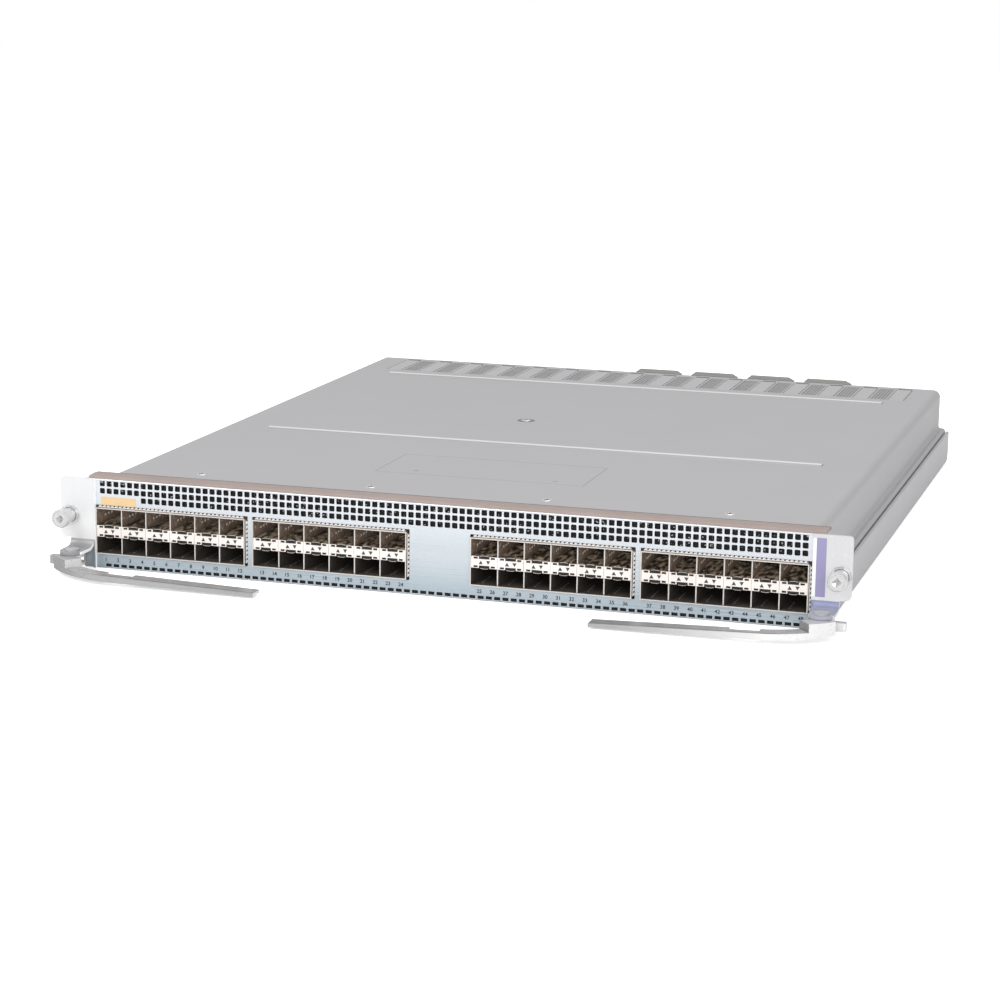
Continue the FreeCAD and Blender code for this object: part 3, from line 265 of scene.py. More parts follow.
# The circuit boards, on plated spacers: green mask over glass cloth, with a grid of tracks showing
# through. Black packages, cased converters, finned sinks and moulded connectors are soldered on.


def moulded(name, colour, shine=0.5, depth=0.00002):
    """Moulded plastic: a fine even texture and slight clouding."""
    made = Finish(name)
    pits = made.noise(0.0008, 3.0)
    clouds = made.noise(0.02, 2.0)
    dark, light = tuple(c * 0.86 for c in colour), tuple(min(1, c * 1.1) for c in colour)
    made.set(base_color=made.blend(clouds, dark, light))
    made.set(roughness=shine + (pits - 0.5) * 0.25)
    return made.relief(pits, depth)


board_green = Finish("board_mask", roughness=0.35)
weave = board_green.noise(0.0009, 2.0, (1, 0.3, 1))
tracks = board_green.noise(0.004, 1.0, (1, 0.05, 1))
board_green.set(base_color=board_green.blend(tracks * 0.6 + weave * 0.4, srgb(12, 60, 34), srgb(30, 104, 62)))
board_green.relief(tracks + weave, 0.00003)
coat(board_green, "main_circuit_board", "control_board")
chip_black = moulded("chip_package", srgb(34, 34, 36), 0.6)
coat(chip_black, "forwarding_chips", "fabric_chip", "memory_chips", "control_chip", "bulk_capacitors",
     bevel=0.2)
case_metal = metal("module_case", (148, 150, 155), shine=0.45, metallic=0.6)
coat(case_metal, "power_converters", bevel=0.4)
sink_metal = metal("sink_aluminium", (165, 167, 172), grain="y", shine=0.4, metallic=0.7)
coat(sink_metal, "heat_sinks", "fabric_heat_sink", bevel=0.15)
brass = metal("plated_spacer", (185, 178, 150), grain="z", shine=0.35, metallic=0.7)
coat(brass, "board_standoffs", "control_board_posts", "cover_posts", bevel=0.15)
black_plastic = moulded("black_plastic", srgb(26, 26, 28), 0.55)
coat(black_plastic, "port_connectors", "power_socket", "guide_sockets", bevel=0.2)
grey_plastic = moulded("connector_grey", srgb(132, 132, 128), 0.55)
coat(grey_plastic, *(f"backplane_connector_{number}" for number in range(1, 5)), bevel=0.4)

# The port cages: four boxes of thin plated sheet, folded up and pressed into the board, each with
# six columns of ports in two rows. The sheet's front edges carry a painted highlight, and inside the
# ports it is painted dark with dust and shade, lighter in the upper ports, with painted glints and a
# faint painted glow.
COLUMN_COUNT, CAGE_SHEET = 6, 0.6
BAND_SPAN, BAND_RISE = 6.2, 0.1


def ramp(value, low, high):
    """0 below low, 1 above high and a straight run between them."""
    return value.finish.node("ShaderNodeMapRange", {}, {0: value, 1: low, 2: high})


cage_sheet = Finish("cage_sheet", metallic=0.2)
# Faces looking forward at the front edges are painted bright: a painted highlight.
painted_highlight_rim = (cage_sheet.facing("Y") < -0.6) * (cage_sheet.depth() < 2)
dust_and_shade = cage_sheet.noise(0.0025, 3.0)
upper_light = ramp(cage_sheet.axis("Z"), 19, 26)
# Painted glints: bright flecks inside, strongest in the upper ports.
glint = (cage_sheet.noise(0.0016, 1.0) > 0.66) * (dust_and_shade > 0.5) * (upper_light * 0.7 + 0.1)
inner = cage_sheet.blend(upper_light, srgb(96, 90, 84), srgb(176, 154, 136))
inner = cage_sheet.blend(dust_and_shade, srgb(66, 60, 55), inner)
inner = cage_sheet.blend(glint, inner, srgb(235, 220, 205))
cage_sheet.set(base_color=cage_sheet.blend(painted_highlight_rim, inner, srgb(212, 208, 204)), roughness=0.35 + dust_and_shade * 0.3)
# A faint glow of the inner colour, weaker in the lower ports: painted light.
lit = cage_sheet.blend(upper_light, srgb(34, 31, 27), inner)
cage_sheet.set(emission_color=cage_sheet.blend(painted_highlight_rim, lit, (0, 0, 0)), emission_strength=0.14)
cage_sheet.relief(dust_and_shade, 0.00004)
coat(cage_sheet, *(f"port_cage_{number}" for number in range(1, 5)))


def box_mm(node):
    """Lowest and highest corner of a CAD node, in millimetres from the faceplate's front."""
    return [Vector((p.x, p.y - front_y, p.z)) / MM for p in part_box(node)]


class Cage:
    """One cage, its band between the rows and the places of its columns, in millimetres."""

    def __init__(self, number):
        self.number = number
        self.low, self.high = box_mm(f"port_cage_{number}")
        self.band_low, self.band_high = box_mm(f"indicator_bands_{number}")
        self.band_low.z += BAND_RISE
        self.band_high.z = self.band_low.z + BAND_SPAN
        self.pitch = (self.high.x - self.low.x - 2 * CAGE_SHEET) / COLUMN_COUNT
        self.centres = [self.low.x + CAGE_SHEET + (k + 0.5) * self.pitch for k in range(COLUMN_COUNT)]
        self.walls = [x - self.pitch / 2 for x in self.centres]


cages = [Cage(number) for number in range(1, 5)]

# The walls between the columns of ports: the same thin sheet, hooked into the cage above and below.
# Like all forms here they are drawn in millimetres, with X right, Y back from the faceplate's front
# and Z up from the underside, as closed shells through outlines set one after another.
PLANES = {"x": lambda u, v, w: (w, u, v), "y": lambda u, v, w: (u, w, v), "z": lambda u, v, w: (u, v, w)}


def at(x, y, z):
    return Vector((x * MM, y * MM + front_y, z * MM))


def outline(points, radii, steps=4):
    """A closed outline whose corners are rounded by arcs of that many steps."""
    found = []
    for index, (point, radius) in enumerate(zip(points, radii)):
        here = Vector(point)
        before = (Vector(points[index - 1]) - here).normalized()
        after = (Vector(points[(index + 1) % len(points)]) - here).normalized()
        if radius == 0:
            found.append(here)
            continue
        half = before.angle(after) / 2
        middle = here + (before + after).normalized() * (radius / math.sin(half))
        start = here + before * radius / math.tan(half) - middle
        sweep = start.angle_signed(here + after * radius / math.tan(half) - middle)
        found += [middle + Matrix.Rotation(-sweep * k / steps, 2) @ start for k in range(steps + 1)]
    return found


def frame_of(left, right, low, high, radius=0.0, steps=3):
    return outline([(left, low), (right, low), (right, high), (left, high)], [radius] * 4, steps)


def ring_of(form, points, axis, w):
    """Adds the corners of an outline that lies across an axis, at that place along it."""
    return [form.verts.new(at(*PLANES[axis](u, v, w))) for u, v in points]


def joined(form, rings):
    """Adds the walls between rings of corners; a ring of one corner closes to a point."""
    steps = max(map(len, rings))
    for near, far in zip(rings, rings[1:]):
        for k in range(steps):
            corners = [near[k % len(near)], near[(k + 1) % len(near)],
                       far[(k + 1) % len(far)], far[k % len(far)]]
            form.faces.new(list(dict.fromkeys(corners)))


def lofted(form, rings):
    """Adds a closed form through rings of corners."""
    form.faces.new(rings[0])
    form.faces.new(rings[-1][::-1])
    joined(form, rings)


def swept(form, points, axis, low, high):
    """Adds a closed prism: an outline across an axis, drawn out along it."""
    lofted(form, [ring_of(form, points, axis, low), ring_of(form, points, axis, high)])


def piece(name, form, finish, body="card", bevel=0.0, smooth=0.0):
    """Makes an object of a bmesh: its finish, its body and, where given, softened edges."""
    bmesh.ops.recalc_face_normals(form, faces=form.faces)
    mesh = bpy.data.meshes.new(name)
    form.to_mesh(mesh)
    form.free()
    made = bpy.data.objects.new(name, mesh)
    scene.collection.objects.link(made)
    mesh.materials.append(finish.material)
    if smooth:
        mesh.shade_smooth()
        mesh.set_sharp_from_angle(angle=math.radians(smooth))
    if bevel:
        soften(made, bevel)
    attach(made, body)
    return made


WALL, WALL_SETBACK = 0.65, 0.9
for cage in cages:
    walls = bmesh.new()
    for wall in cage.walls[1:]:
        swept(walls, frame_of(wall - WALL / 2, wall + WALL / 2, cage.low.z + CAGE_SHEET,
                              cage.high.z - CAGE_SHEET),
              "y", cage.band_low.y + WALL_SETBACK, cage.high.y - CAGE_SHEET)
    wall_piece = piece(f"port_walls_{cage.number}", walls, cage_sheet)
    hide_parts(f"cage_dividers_{cage.number}")

# The faceplate: zinc plated sheet, punched with rounded vents and slots and folded back along its
# top as the flange for the gasket. Its softened edges carry a painted highlight, its face is painted
# with light and shade, and it meets three of the cages on their left.


def sheet_tint(made, base):
    """Painted light and shade: lighter towards the top, darker and cooler towards the underside and the left
    end, and dark painted shade on the walls of the punched holes.
    """
    high = made.blend(ramp(made.axis("Z"), 26, 45), base, srgb(232, 238, 245))
    low = made.blend(ramp(made.axis("X"), -195, -165), srgb(140, 160, 172), srgb(166, 184, 196))
    tinted = made.blend(ramp(made.axis("Z"), 2, 22), low, high)
    wall = (made.depth() > 0.35) * (made.axis("Z") < 48.4)
    return made.blend(wall, tinted, srgb(38, 38, 40))


zinc = metal("zinc_plate", (206, 216, 223), shine=0.3, relief=0.000003, tint=sheet_tint)
# A near-white finish for the faces of the softened edges: a painted highlight.
edge_highlight_metal = metal("painted_edge_highlight", (246, 248, 250), shine=0.3)


def pierced(form, edge, holes, front, back):
    """Adds an upright plate with holes through it, between two depths."""
    edges = []
    for loop in [edge] + holes:
        ring = ring_of(form, loop, "y", front)
        edges += [form.edges.new(pair) for pair in zip(ring, ring[1:] + ring[:1])]
    filled = bmesh.ops.triangle_fill(form, use_beauty=True, edges=edges)["geom"]
    faces = [part for part in filled if isinstance(part, bmesh.types.BMFace)]
    grown = bmesh.ops.extrude_face_region(form, geom=faces)["geom"]
    moved = [part for part in grown if isinstance(part, bmesh.types.BMVert)]
    bmesh.ops.translate(form, verts=moved, vec=(0, (back - front) * MM, 0))


FACE_SHEET, FACE_SEAM = 1.0, 0.02
VENT_PITCH, VENT_SIZE, VENT_ROUND, VENT_GAP = 4.0, 3.0, 0.6, 0.1
VENT_ROWS, VENT_HALF_COUNT, VENT_SKIPPED = 3, 48, 6
SLOT_PITCH, SLOT_SIZE, SLOT_Z, SLOT_HALF_COUNT, SLOT_ROUND = 4.5, (3.4, 1.8), 1.85, 42, 0.2
WINDOW_MARGIN, WINDOW_LOW_MARGIN, WINDOW_ROUND = 1.5, 0.15, 0.4
face_low, face_high = box_mm("faceplate")
vent_top = face_high.z - FACE_SHEET - VENT_GAP
holes = []
for row in range(VENT_ROWS):
    first = VENT_SKIPPED * (row == VENT_ROWS - 1) - VENT_HALF_COUNT
    low = vent_top - VENT_SIZE - row * VENT_PITCH
    for column in range(first, VENT_HALF_COUNT + 1):
        left = column * VENT_PITCH - VENT_SIZE / 2
        holes.append(frame_of(left, left + VENT_SIZE, low, low + VENT_SIZE, VENT_ROUND))
for column in range(-SLOT_HALF_COUNT, SLOT_HALF_COUNT + 1):
    left, low = column * SLOT_PITCH - SLOT_SIZE[0] / 2, SLOT_Z - SLOT_SIZE[1] / 2
    holes.append(frame_of(left, left + SLOT_SIZE[0], low, low + SLOT_SIZE[1], SLOT_ROUND, 2))
for cage in cages:
    left_margin = WINDOW_MARGIN if cage.number == 1 else WINDOW_LOW_MARGIN
    holes.append(frame_of(cage.low.x - left_margin, cage.high.x + WINDOW_MARGIN,
                          cage.low.z - WINDOW_LOW_MARGIN, cage.high.z + WINDOW_MARGIN, WINDOW_ROUND))
plate = bmesh.new()
top, seam = face_high.z, face_high.z - FACE_SHEET - FACE_SEAM
pierced(plate, frame_of(face_low.x, face_high.x, face_low.z, seam), holes, 0, FACE_SHEET)
fold = outline([(0, seam), (0, top), (face_high.y, top), (face_high.y, top - FACE_SHEET),
                (FACE_SHEET, top - FACE_SHEET)], [0, FACE_SHEET * 0.9, 0, 0, 0])
swept(plate, fold, "x", face_low.x, face_high.x)
faceplate = piece("faceplate_sheet", plate, zinc, bevel=0.34)
faceplate.data.materials.append(edge_highlight_metal.material)
faceplate.modifiers["soft_edges"].material = 1
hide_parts("faceplate")

# Behind the holes: a dark screen of thin film behind the vents that stands for the shade beyond
# them, with painted glints for what lies further in, and a black strip of painted shade behind the
# bottom slots. Both are held by the faceplate's back.
LINER_INSET, SCREEN_LOW, SCREEN_DEPTHS = 9.5, 35.9, (1.4, 1.7)
STRIP_HEIGHTS, STRIP_DEPTHS = (0.85, 2.9), (0.7, 0.95)
shade_liner = moulded("painted_shade_liner", (0.004, 0.004, 0.004), 0.8)
painted_glints = (shade_liner.noise(0.0011, 0.0) > 0.74) * (shade_liner.noise(0.02, 1.0) > 0.42) * (shade_liner.axis("Z") > 20)
shade_liner.set(base_color=shade_liner.blend(painted_glints, srgb(14, 14, 15), srgb(170, 170, 166)))
screen_form = bmesh.new()
half_span = face_high.x - LINER_INSET
swept(screen_form, frame_of(-half_span, half_span, SCREEN_LOW, vent_top + 0.3), "y", *SCREEN_DEPTHS)
swept(screen_form, frame_of(-half_span, half_span, *STRIP_HEIGHTS), "y", *STRIP_DEPTHS)
piece("vent_shade_liner", screen_form, shade_liner)

# The contact fingers between the cages and their windows: thin copper alloy, wrapped round each
# cage's mouth and bulged to the front. The strip is whole beside the cage and cut into slanted
# fingers on its outer half.
FINGER_PITCH, FINGER_WIDTH, FINGER_SLANT, FINGER_SHEET, FINGER_MIDDLE = 2.35, 1.45, 0.65, 0.1, 0.6
whole_curve = [(0.02, 0.9), (0.06, 0.4), (0.2, 0.2), (0.6, 0.2)]
cut_curve = [(0.64, 0.2), (1.06, 0.2), (1.32, 0.45), (1.42, 0.95)]
finger_curve = [(*point, FINGER_PITCH) for point in whole_curve]
finger_curve += [(*point, FINGER_WIDTH) for point in cut_curve]
finger_metal = metal("finger_copper", (240, 238, 236), shine=0.3, metallic=0.2)
fingers = bmesh.new()


def finger(start, place):
    """Adds one; place turns a run along the cage and a reach away from it into X, Y and Z."""
    rings = []
    for reach, y, width in finger_curve:
        near = start + FINGER_SLANT * (reach - FINGER_MIDDLE)
        corners = [(near, y), (near + width, y), (near + width, y + FINGER_SHEET), (near, y + FINGER_SHEET)]
        rings.append([fingers.verts.new(at(*place(u, reach, v))) for u, v in corners])
    lofted(fingers, rings)


for cage in cages:
    low, high = cage.low, cage.high
    runs = [(high.x - low.x, lambda u, r, y, low=low, high=high: (low.x + u, y, high.z + r)),
            (high.z - low.z, lambda u, r, y, low=low, high=high: (high.x + r, y, low.z + u)),
            (high.z - low.z, lambda u, r, y, low=low, high=high: (low.x - r, y, low.z + u))]
    for length, place in runs[:3 if cage.number == 1 else 2]:
        count = int(length / FINGER_PITCH)
        margin = (length - count * FINGER_PITCH + FINGER_PITCH - FINGER_WIDTH) / 2
        for index in range(count):
            finger(margin + index * FINGER_PITCH, place)
finger_strip = piece("contact_fingers", fingers, finger_metal)
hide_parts("cage_gaskets")

# The light guides between the upper and lower ports: milky plastic, moulded as one band for each
# cage, with a wide notch at each latch, above and below, and small windows on either side of it.
pale_plastic = moulded("light_guide", srgb(244, 236, 230), 0.45)
GUIDE_DEPTH = 0.85
SIDE_NOTCH, SIDE_NOTCH_X, SIDE_NOTCH_INSET = (2.3, 1.1), 4.65, 0.25
WIDE_NOTCH = (5.8, 1.4)
for cage in cages:
    left, right, bottom, top = cage.band_low.x, cage.band_high.x, cage.band_low.z, cage.band_high.z
    lower_edge, upper_edge, notches = [], [], []
    for x in cage.centres:
        start, end = x - WIDE_NOTCH[0] / 2, x + WIDE_NOTCH[0] / 2
        lower_edge += [(start, bottom), (start, bottom + WIDE_NOTCH[1]), (end, bottom + WIDE_NOTCH[1]),
                       (end, bottom)]
        upper_edge += [(start, top), (start, top - WIDE_NOTCH[1]), (end, top - WIDE_NOTCH[1]), (end, top)]
        for side in (-1, 1):
            start = x + side * SIDE_NOTCH_X - SIDE_NOTCH[0] / 2
            for base in (bottom + SIDE_NOTCH_INSET, top - SIDE_NOTCH_INSET - SIDE_NOTCH[1]):
                notches.append(frame_of(start, start + SIDE_NOTCH[0], base, base + SIDE_NOTCH[1]))
    edge = [(left, bottom), *lower_edge, (right, bottom), (right, top), *upper_edge[::-1], (left, top)]
    guide = bmesh.new()
    pierced(guide, edge, notches, cage.band_low.y, cage.band_low.y + GUIDE_DEPTH)
    name = f"light_guide_{cage.number}"
    guide_piece = piece(name, guide, pale_plastic, bevel=0.1)
    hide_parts(f"indicator_bands_{cage.number}")

# The latch blocks: dark moulded blocks behind the guides, one for each column, that hold the
# latches. Their tops carry painted mottled reflections of the upper ports' insides, and the blocks
# glow faintly with the same colour.
BLOCK_GAP, BLOCK_INSET, BLOCK_ROUND, BLOCK_SETBACK = 0.55, 0.05, 0.3, 0.9
latch_dark = moulded("latch_dark", srgb(20, 18, 17), 0.5)
mottle = ramp(latch_dark.noise(0.0022, 3.0, (1, 0.35, 1)), 0.44, 0.66)
mottle = mottle * ramp(latch_dark.facing("Z"), 0.3, 0.8)
latch_reflection = latch_dark.blend(mottle, srgb(26, 23, 20), srgb(158, 142, 122))
latch_dark.set(base_color=latch_reflection, emission_color=latch_reflection, emission_strength=0.3)
for cage in cages:
    blocks = bmesh.new()
    for x in cage.centres:
        reach = cage.pitch / 2 - BLOCK_GAP
        swept(blocks, frame_of(x - reach, x + reach, cage.band_low.z + BLOCK_INSET,
                               cage.band_high.z - BLOCK_INSET, BLOCK_ROUND),
              "y", cage.band_low.y + BLOCK_SETBACK, cage.band_high.y)
    piece(f"latch_blocks_{cage.number}", blocks, latch_dark, bevel=0.1)

# The latches' bright tongues: bowed strips of spring metal that stand out of the wide notches,
# above and below each guide.
TONGUE_HALF_WIDTH, TONGUE_BOW, TONGUE_SHEET = 2.2, 0.4, 0.2
tongue_metal = metal("latch_tongue", (214, 208, 202), shine=0.3, metallic=0.4)
for cage in cages:
    tongues = bmesh.new()
    for x in cage.centres:
        for z, side in ((cage.band_high.z + 0.05, 1), (cage.band_low.z - 0.05, -1)):
            turns = [math.radians(-80 + 20 * step) for step in range(9)]
            arc = [(x + TONGUE_HALF_WIDTH * math.sin(a), z + side * TONGUE_BOW * math.cos(a)) for a in turns]
            inner_arc = [(u, v - side * TONGUE_SHEET) for u, v in arc[::-1]]
            swept(tongues, arc + inner_arc, "y", cage.band_low.y + 0.2, cage.band_low.y + 1.0)
    piece(f"latch_tongues_{cage.number}", tongues, tongue_metal)

# Printed on the guides in grey ink: an upward and a downward arrow at each column, and the fine
# joint lines where the guides of two columns meet.
ARROW_X, ARROW_SHIFT, ARROW_SIZE = 2.0, 0.2, (2.3, 2.0)
JOINT_HALF_WIDTH, JOINT_INSET = 0.07, 0.3
mark_grey = moulded("mark_grey", srgb(70, 68, 70), 0.6)
for cage in cages:
    marks = bmesh.new()
    middle = (cage.band_low.z + cage.band_high.z) / 2
    for x in cage.centres:
        for side in (-1, 1):
            tip, base = middle - side * ARROW_SIZE[1] / 2, middle + side * ARROW_SIZE[1] / 2
            centre, reach = x + ARROW_SHIFT + side * ARROW_X, ARROW_SIZE[0] / 2
            swept(marks, [(centre - reach, base), (centre + reach, base), (centre, tip)], "y",
                  cage.band_low.y - 0.03, cage.band_low.y + 0.1)
    for wall in cage.walls[1:]:
        swept(marks, frame_of(wall - JOINT_HALF_WIDTH, wall + JOINT_HALF_WIDTH, cage.band_low.z + JOINT_INSET,
                              cage.band_high.z - JOINT_INSET),
              "y", cage.band_low.y - 0.02, cage.band_low.y + 0.1)
    piece(f"arrows_{cage.number}", marks, mark_grey)

# Spring contacts: three bright ends on the left wall of each upper port, cut out of the wall and
# bent into the port to touch a plugged-in module. They glow a little: painted highlights in the
# dark port.
CONTACT_PLACES, CONTACT_LENGTH, CONTACT_Z = (9, 13, 17), 1.6, (27.2, 28.2)
glowing_contact_metal = metal("spring_contact", (236, 228, 218), shine=0.3, metallic=0.2)
glowing_contact_metal.set(emission_color=srgb(200, 190, 180), emission_strength=0.3)
for cage in cages:
    dots = bmesh.new()
    for column, wall in enumerate(cage.walls):
        face = wall + (WALL / 2 if column else CAGE_SHEET / 2)
        for y in CONTACT_PLACES:
            swept(dots, frame_of(face - 0.05, face + 0.08, *CONTACT_Z), "y", y, y + CONTACT_LENGTH)
    piece(f"spring_contacts_{cage.number}", dots, glowing_contact_metal)

# Dimples: a row of small bright ones pressed up out of the floor of each lower port, on which the
# plugged-in module slides.
DIMPLE_X, DIMPLE_SIZE, DIMPLE_START, DIMPLE_PITCH, DIMPLE_COUNT = 4.2, (0.6, 0.9, 0.06), 5.5, 3.2, 5
for cage in cages:
    specks, floor_z = bmesh.new(), cage.low.z + CAGE_SHEET
    for wall in cage.walls:
        dimple_outline = frame_of(wall + DIMPLE_X, wall + DIMPLE_X + DIMPLE_SIZE[0], floor_z,
                              floor_z + DIMPLE_SIZE[2])
        for step in range(DIMPLE_COUNT):
            y = DIMPLE_START + DIMPLE_PITCH * step
            swept(specks, dimple_outline, "y", y, y + DIMPLE_SIZE[1])
    piece(f"floor_dimples_{cage.number}", specks, finger_metal)

# Port numbers: printed in dark blue ink below the cages, two under each column of ports and a
# little towards the middle of the card.
NUMERAL_SIZE, NUMERAL_Z, NUMERAL_X, NUMERAL_SHIFT, NUMERAL_CLOSING = 2.8, 4.15, 3.56, 0.95, 0.9985
NUMERAL_RELIEF, NUMERAL_STROKE, NUMERAL_STEPS = 0.02, 0.06, 3
numeral_ink = moulded("numeral_ink", srgb(26, 38, 54), 0.6)
numerals = bmesh.new()
numeral_places = [x + side * NUMERAL_X for cage in cages for x in cage.centres for side in (-1, 1)]
for number, x in enumerate(numeral_places, 1):
    text = bpy.data.curves.new("numeral", "FONT")
    text.body, text.size, text.align_x = str(number), NUMERAL_SIZE * MM, "CENTER"
    text.extrude, text.offset, text.resolution_u = NUMERAL_RELIEF * MM, NUMERAL_STROKE * MM, NUMERAL_STEPS
    shape = bpy.data.objects.new("numeral", text)
    flat = bpy.data.meshes.new_from_object(shape)
    numeral_place = at(x * NUMERAL_CLOSING + NUMERAL_SHIFT, -0.015, NUMERAL_Z)
    flat.transform(Matrix.Translation(numeral_place) @ Matrix.Rotation(math.pi / 2, 4, "X"))
    numerals.from_mesh(flat)
    bpy.data.objects.remove(shape)
    bpy.data.meshes.remove(flat)
piece("port_numerals", numerals, numeral_ink)

# The conductive gasket: a crowned strip of woven metal-coated cloth over foam, glued along the
# faceplate's flange, with a shadowed rear edge.
GASKET_FRONT, GASKET_FLANGE_Z, GASKET_CROWN, GASKET_SHADE = 0.3, 49.3, 0.35, (2.4, 1.5)
gasket_low, gasket_high = box_mm("top_gasket")
cloth = Finish("conductive_cloth", metallic=0.15)
across = cloth.noise(0.0012, 2.0, (1, 8, 8))
along = cloth.noise(0.0012, 2.0, (8, 1, 8))
rumple = cloth.noise(0.02, 3.0)
threads = across * 0.35 + along * 0.35 + rumple * 0.3
woven = cloth.blend(threads, srgb(132, 116, 111), srgb(188, 174, 168))
rear, height = gasket_high.y, gasket_high.z
shade = ramp(cloth.depth(), rear - GASKET_SHADE[0], rear - GASKET_SHADE[1])
cloth.set(base_color=cloth.blend(shade, woven, srgb(88, 82, 81)), roughness=0.55 + across * 0.2)
cloth.relief(across + along + rumple, 0.0001)
strip = bmesh.new()
profile = outline([(GASKET_FRONT, GASKET_FLANGE_Z), (0.5, height - GASKET_CROWN),
                   ((gasket_low.y + rear) / 2, height), (rear - 0.1, height - GASKET_CROWN),
                   (rear, gasket_low.z), (1.0, gasket_low.z)], [0, 0.6, 6, 0.6, 0, 0], 6)
swept(strip, profile, "x", gasket_low.x + 2, gasket_high.x + 0.5)
gasket = piece("gasket_strip", strip, cloth, smooth=50)
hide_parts("top_gasket")

# The end brackets: satin plated ears, bent from thick sheet and screwed to the tray's ends. The
# ears are painted lighter towards the bottom, the curved foot carries painted reflections of darker
# surroundings, and the left ear's inner edge glows white as a painted highlight.


def ear_tint(made, base):
    """Painted light on the plating: lighter towards the bottom, with painted reflections on the curved foot,
    darker and, on the right, bluer.
    """
    right = made.axis("X") > 0
    right_ear_light = made.blend(ramp(made.axis("Z"), 45, 18), srgb(218, 217, 220), srgb(240, 240, 241))
    sparkle = made.noise(0.0011, 1.0) > 0.66
    right_ear_light = made.blend(sparkle * 0.35, right_ear_light, (1, 1, 1))
    ear = made.blend(right, made.blend(ramp(made.axis("Z"), 40, 18), base, (1, 1, 1)), right_ear_light)
    left_foot = made.blend(ramp(made.axis("Z"), 11.6, 15.5), srgb(150, 150, 153), srgb(176, 176, 180))
    right_foot = made.blend(ramp(made.axis("Z"), 12.0, 12.9), srgb(172, 174, 190), srgb(126, 132, 176))
    foot = made.blend(right, left_foot, right_foot)
    sideways = made.facing("X")
    foot_area = (made.axis("Z") < 15.9) * (made.depth() < -1.2)
    return made.blend(foot_area * (sideways < 0.9) * (sideways > -0.9), ear, foot)


satin = metal("satin_plate", (240, 242, 244), grain="z", shine=0.4, spread=0.05, tint=ear_tint)
# The left ear's inner edge glows white: a painted highlight.
inner_edge = (satin.axis("X") < 0) * (satin.facing("X") > 0.9)
satin.set(emission_color=satin.blend(inner_edge, (0, 0, 0), (1, 1, 1)), emission_strength=0.35)
coat(satin, "left_end_bracket", "right_end_bracket", bevel=0.15)

# The ejector levers: thick plate, folded into a channel that turns on a pin beside the end
# bracket. Their tops are brushed, and they are painted with light and shade: a dark line of painted
# shade along the crease in front, and walls painted grey to the left and bright to the right.


def lever_tint(made, base):
    """Painted light and shade: brushed tops with a painted dark line of shade at the crease in front; walls
    painted grey to the left, bright to the right.
    """
    across, up = made.facing("X"), ramp(made.facing("Z"), 0.5, 0.9)
    far_right = ramp(made.axis("X"), 105, 175)
    side = made.blend(ramp(across, -0.75, -0.2), srgb(104, 104, 108), srgb(162, 162, 164))
    side = made.blend(ramp(across, 0.05, 0.5), side, srgb(244, 244, 245))
    side = made.blend(far_right * ramp(across, -0.4, 0.1), side, srgb(250, 250, 250))
    top = made.blend(ramp(made.axis("X"), 0, 90), srgb(168, 166, 165), srgb(138, 137, 138))
    top = made.blend(far_right, top, srgb(196, 196, 199))
    painted_crease_shade = (made.depth() > -35.9) * (made.depth() < -35.1)
    return made.blend(up, side, made.blend(painted_crease_shade, top, srgb(74, 73, 74)))


lever_steel = metal("lever_plate", (196, 196, 200), shine=0.3, spread=0.1, tint=lever_tint)
coat(lever_steel, "left_ejector_lever", "right_ejector_lever", bevel=0.3)

# Captive screws: nickel plated, turned from bar, each in a sleeve with a washer. The knob has a
# raised ring and a pale grey cross recess; a neck, shank and thread follow behind it.
nickel = metal("bright_nickel", (225, 225, 226), grain="y", shine=0.22, spread=0.03, metallic=0.6)
coat(nickel, "screw_sleeves", "left_screw_washer", "right_screw_washer", bevel=0.12)


def circle_of(u, v, radius, steps):
    turns = [2 * math.pi * k / steps for k in range(steps)]
    return [(u + radius * math.cos(a), v + radius * math.sin(a)) for a in turns]


def turned(form, profile, u, v, axis="y", steps=48, hollow=False):
    """Adds a form turned about an axis; profile is (radius, place along it) pairs."""
    rings = [ring_of(form, circle_of(u, v, radius, steps if radius else 1), axis, w) for radius, w in profile]
    joined(form, rings + rings[:1] if hollow else rings)


def cross_of(u, v, arm, half_width):
    """The outline of a cross recess about a point: a quarter of it, turned round four times."""
    points, quarter = [], [(half_width, -arm), (half_width, -half_width), (arm, -half_width)]
    for _ in range(4):
        points += [(u + a, v + b) for a, b in quarter]
        quarter = [(-b, a) for a, b in quarter]
    return points


CROSS_ARM, CROSS_WIDTH, CROSS_DEPTH = 2.4, 0.75, (0.06, 1.2)
NECK_RADIUS, SHANK_RADIUS, THREAD_RADIUS, THREAD_TAPER = 4.05, 1.4, 1.95, 0.35
recess_pale = moulded("recess_pale_grey", srgb(168, 168, 170), 0.4)
for side in ("left", "right"):
    low, high = box_mm(f"{side}_captive_screw")
    x, z, knob, front = (low.x + high.x) / 2, (low.z + high.z) / 2, (high.x - low.x) / 2, low.y
    head_profile = [(0, 0.9), (1.1, 0.8), (2.2, 0.1), (2.6, 0.02), (3.4, 0.02), (3.55, 0.3), (3.9, 0.3),
                    (NECK_RADIUS, 0), (4.45, 0), (knob, 0.55), (knob, 2.7), (knob - 0.3, 3),
                    (NECK_RADIUS, 3), (NECK_RADIUS, 11.4), (SHANK_RADIUS, 11.4)]
    thread_profile = [(SHANK_RADIUS, -5.0), (THREAD_RADIUS - THREAD_TAPER, -5.0), (THREAD_RADIUS, -4.7),
                      (THREAD_RADIUS, -0.5), (1.5, 0), (0, 0)]
    form = bmesh.new()
    turned(form, [(radius, front + y) for radius, y in head_profile]
           + [(radius, high.y + y) for radius, y in thread_profile], x, z)
    knob_piece = piece(f"{side}_screw_knob", form, nickel, body=f"{side}_screw", smooth=30)
    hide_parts(f"{side}_captive_screw")
    cross = bmesh.new()
    swept(cross, cross_of(x, z, CROSS_ARM, CROSS_WIDTH / 2), "y", *(front + y for y in CROSS_DEPTH))
    piece(f"{side}_screw_recess", cross, recess_pale, body=f"{side}_screw")
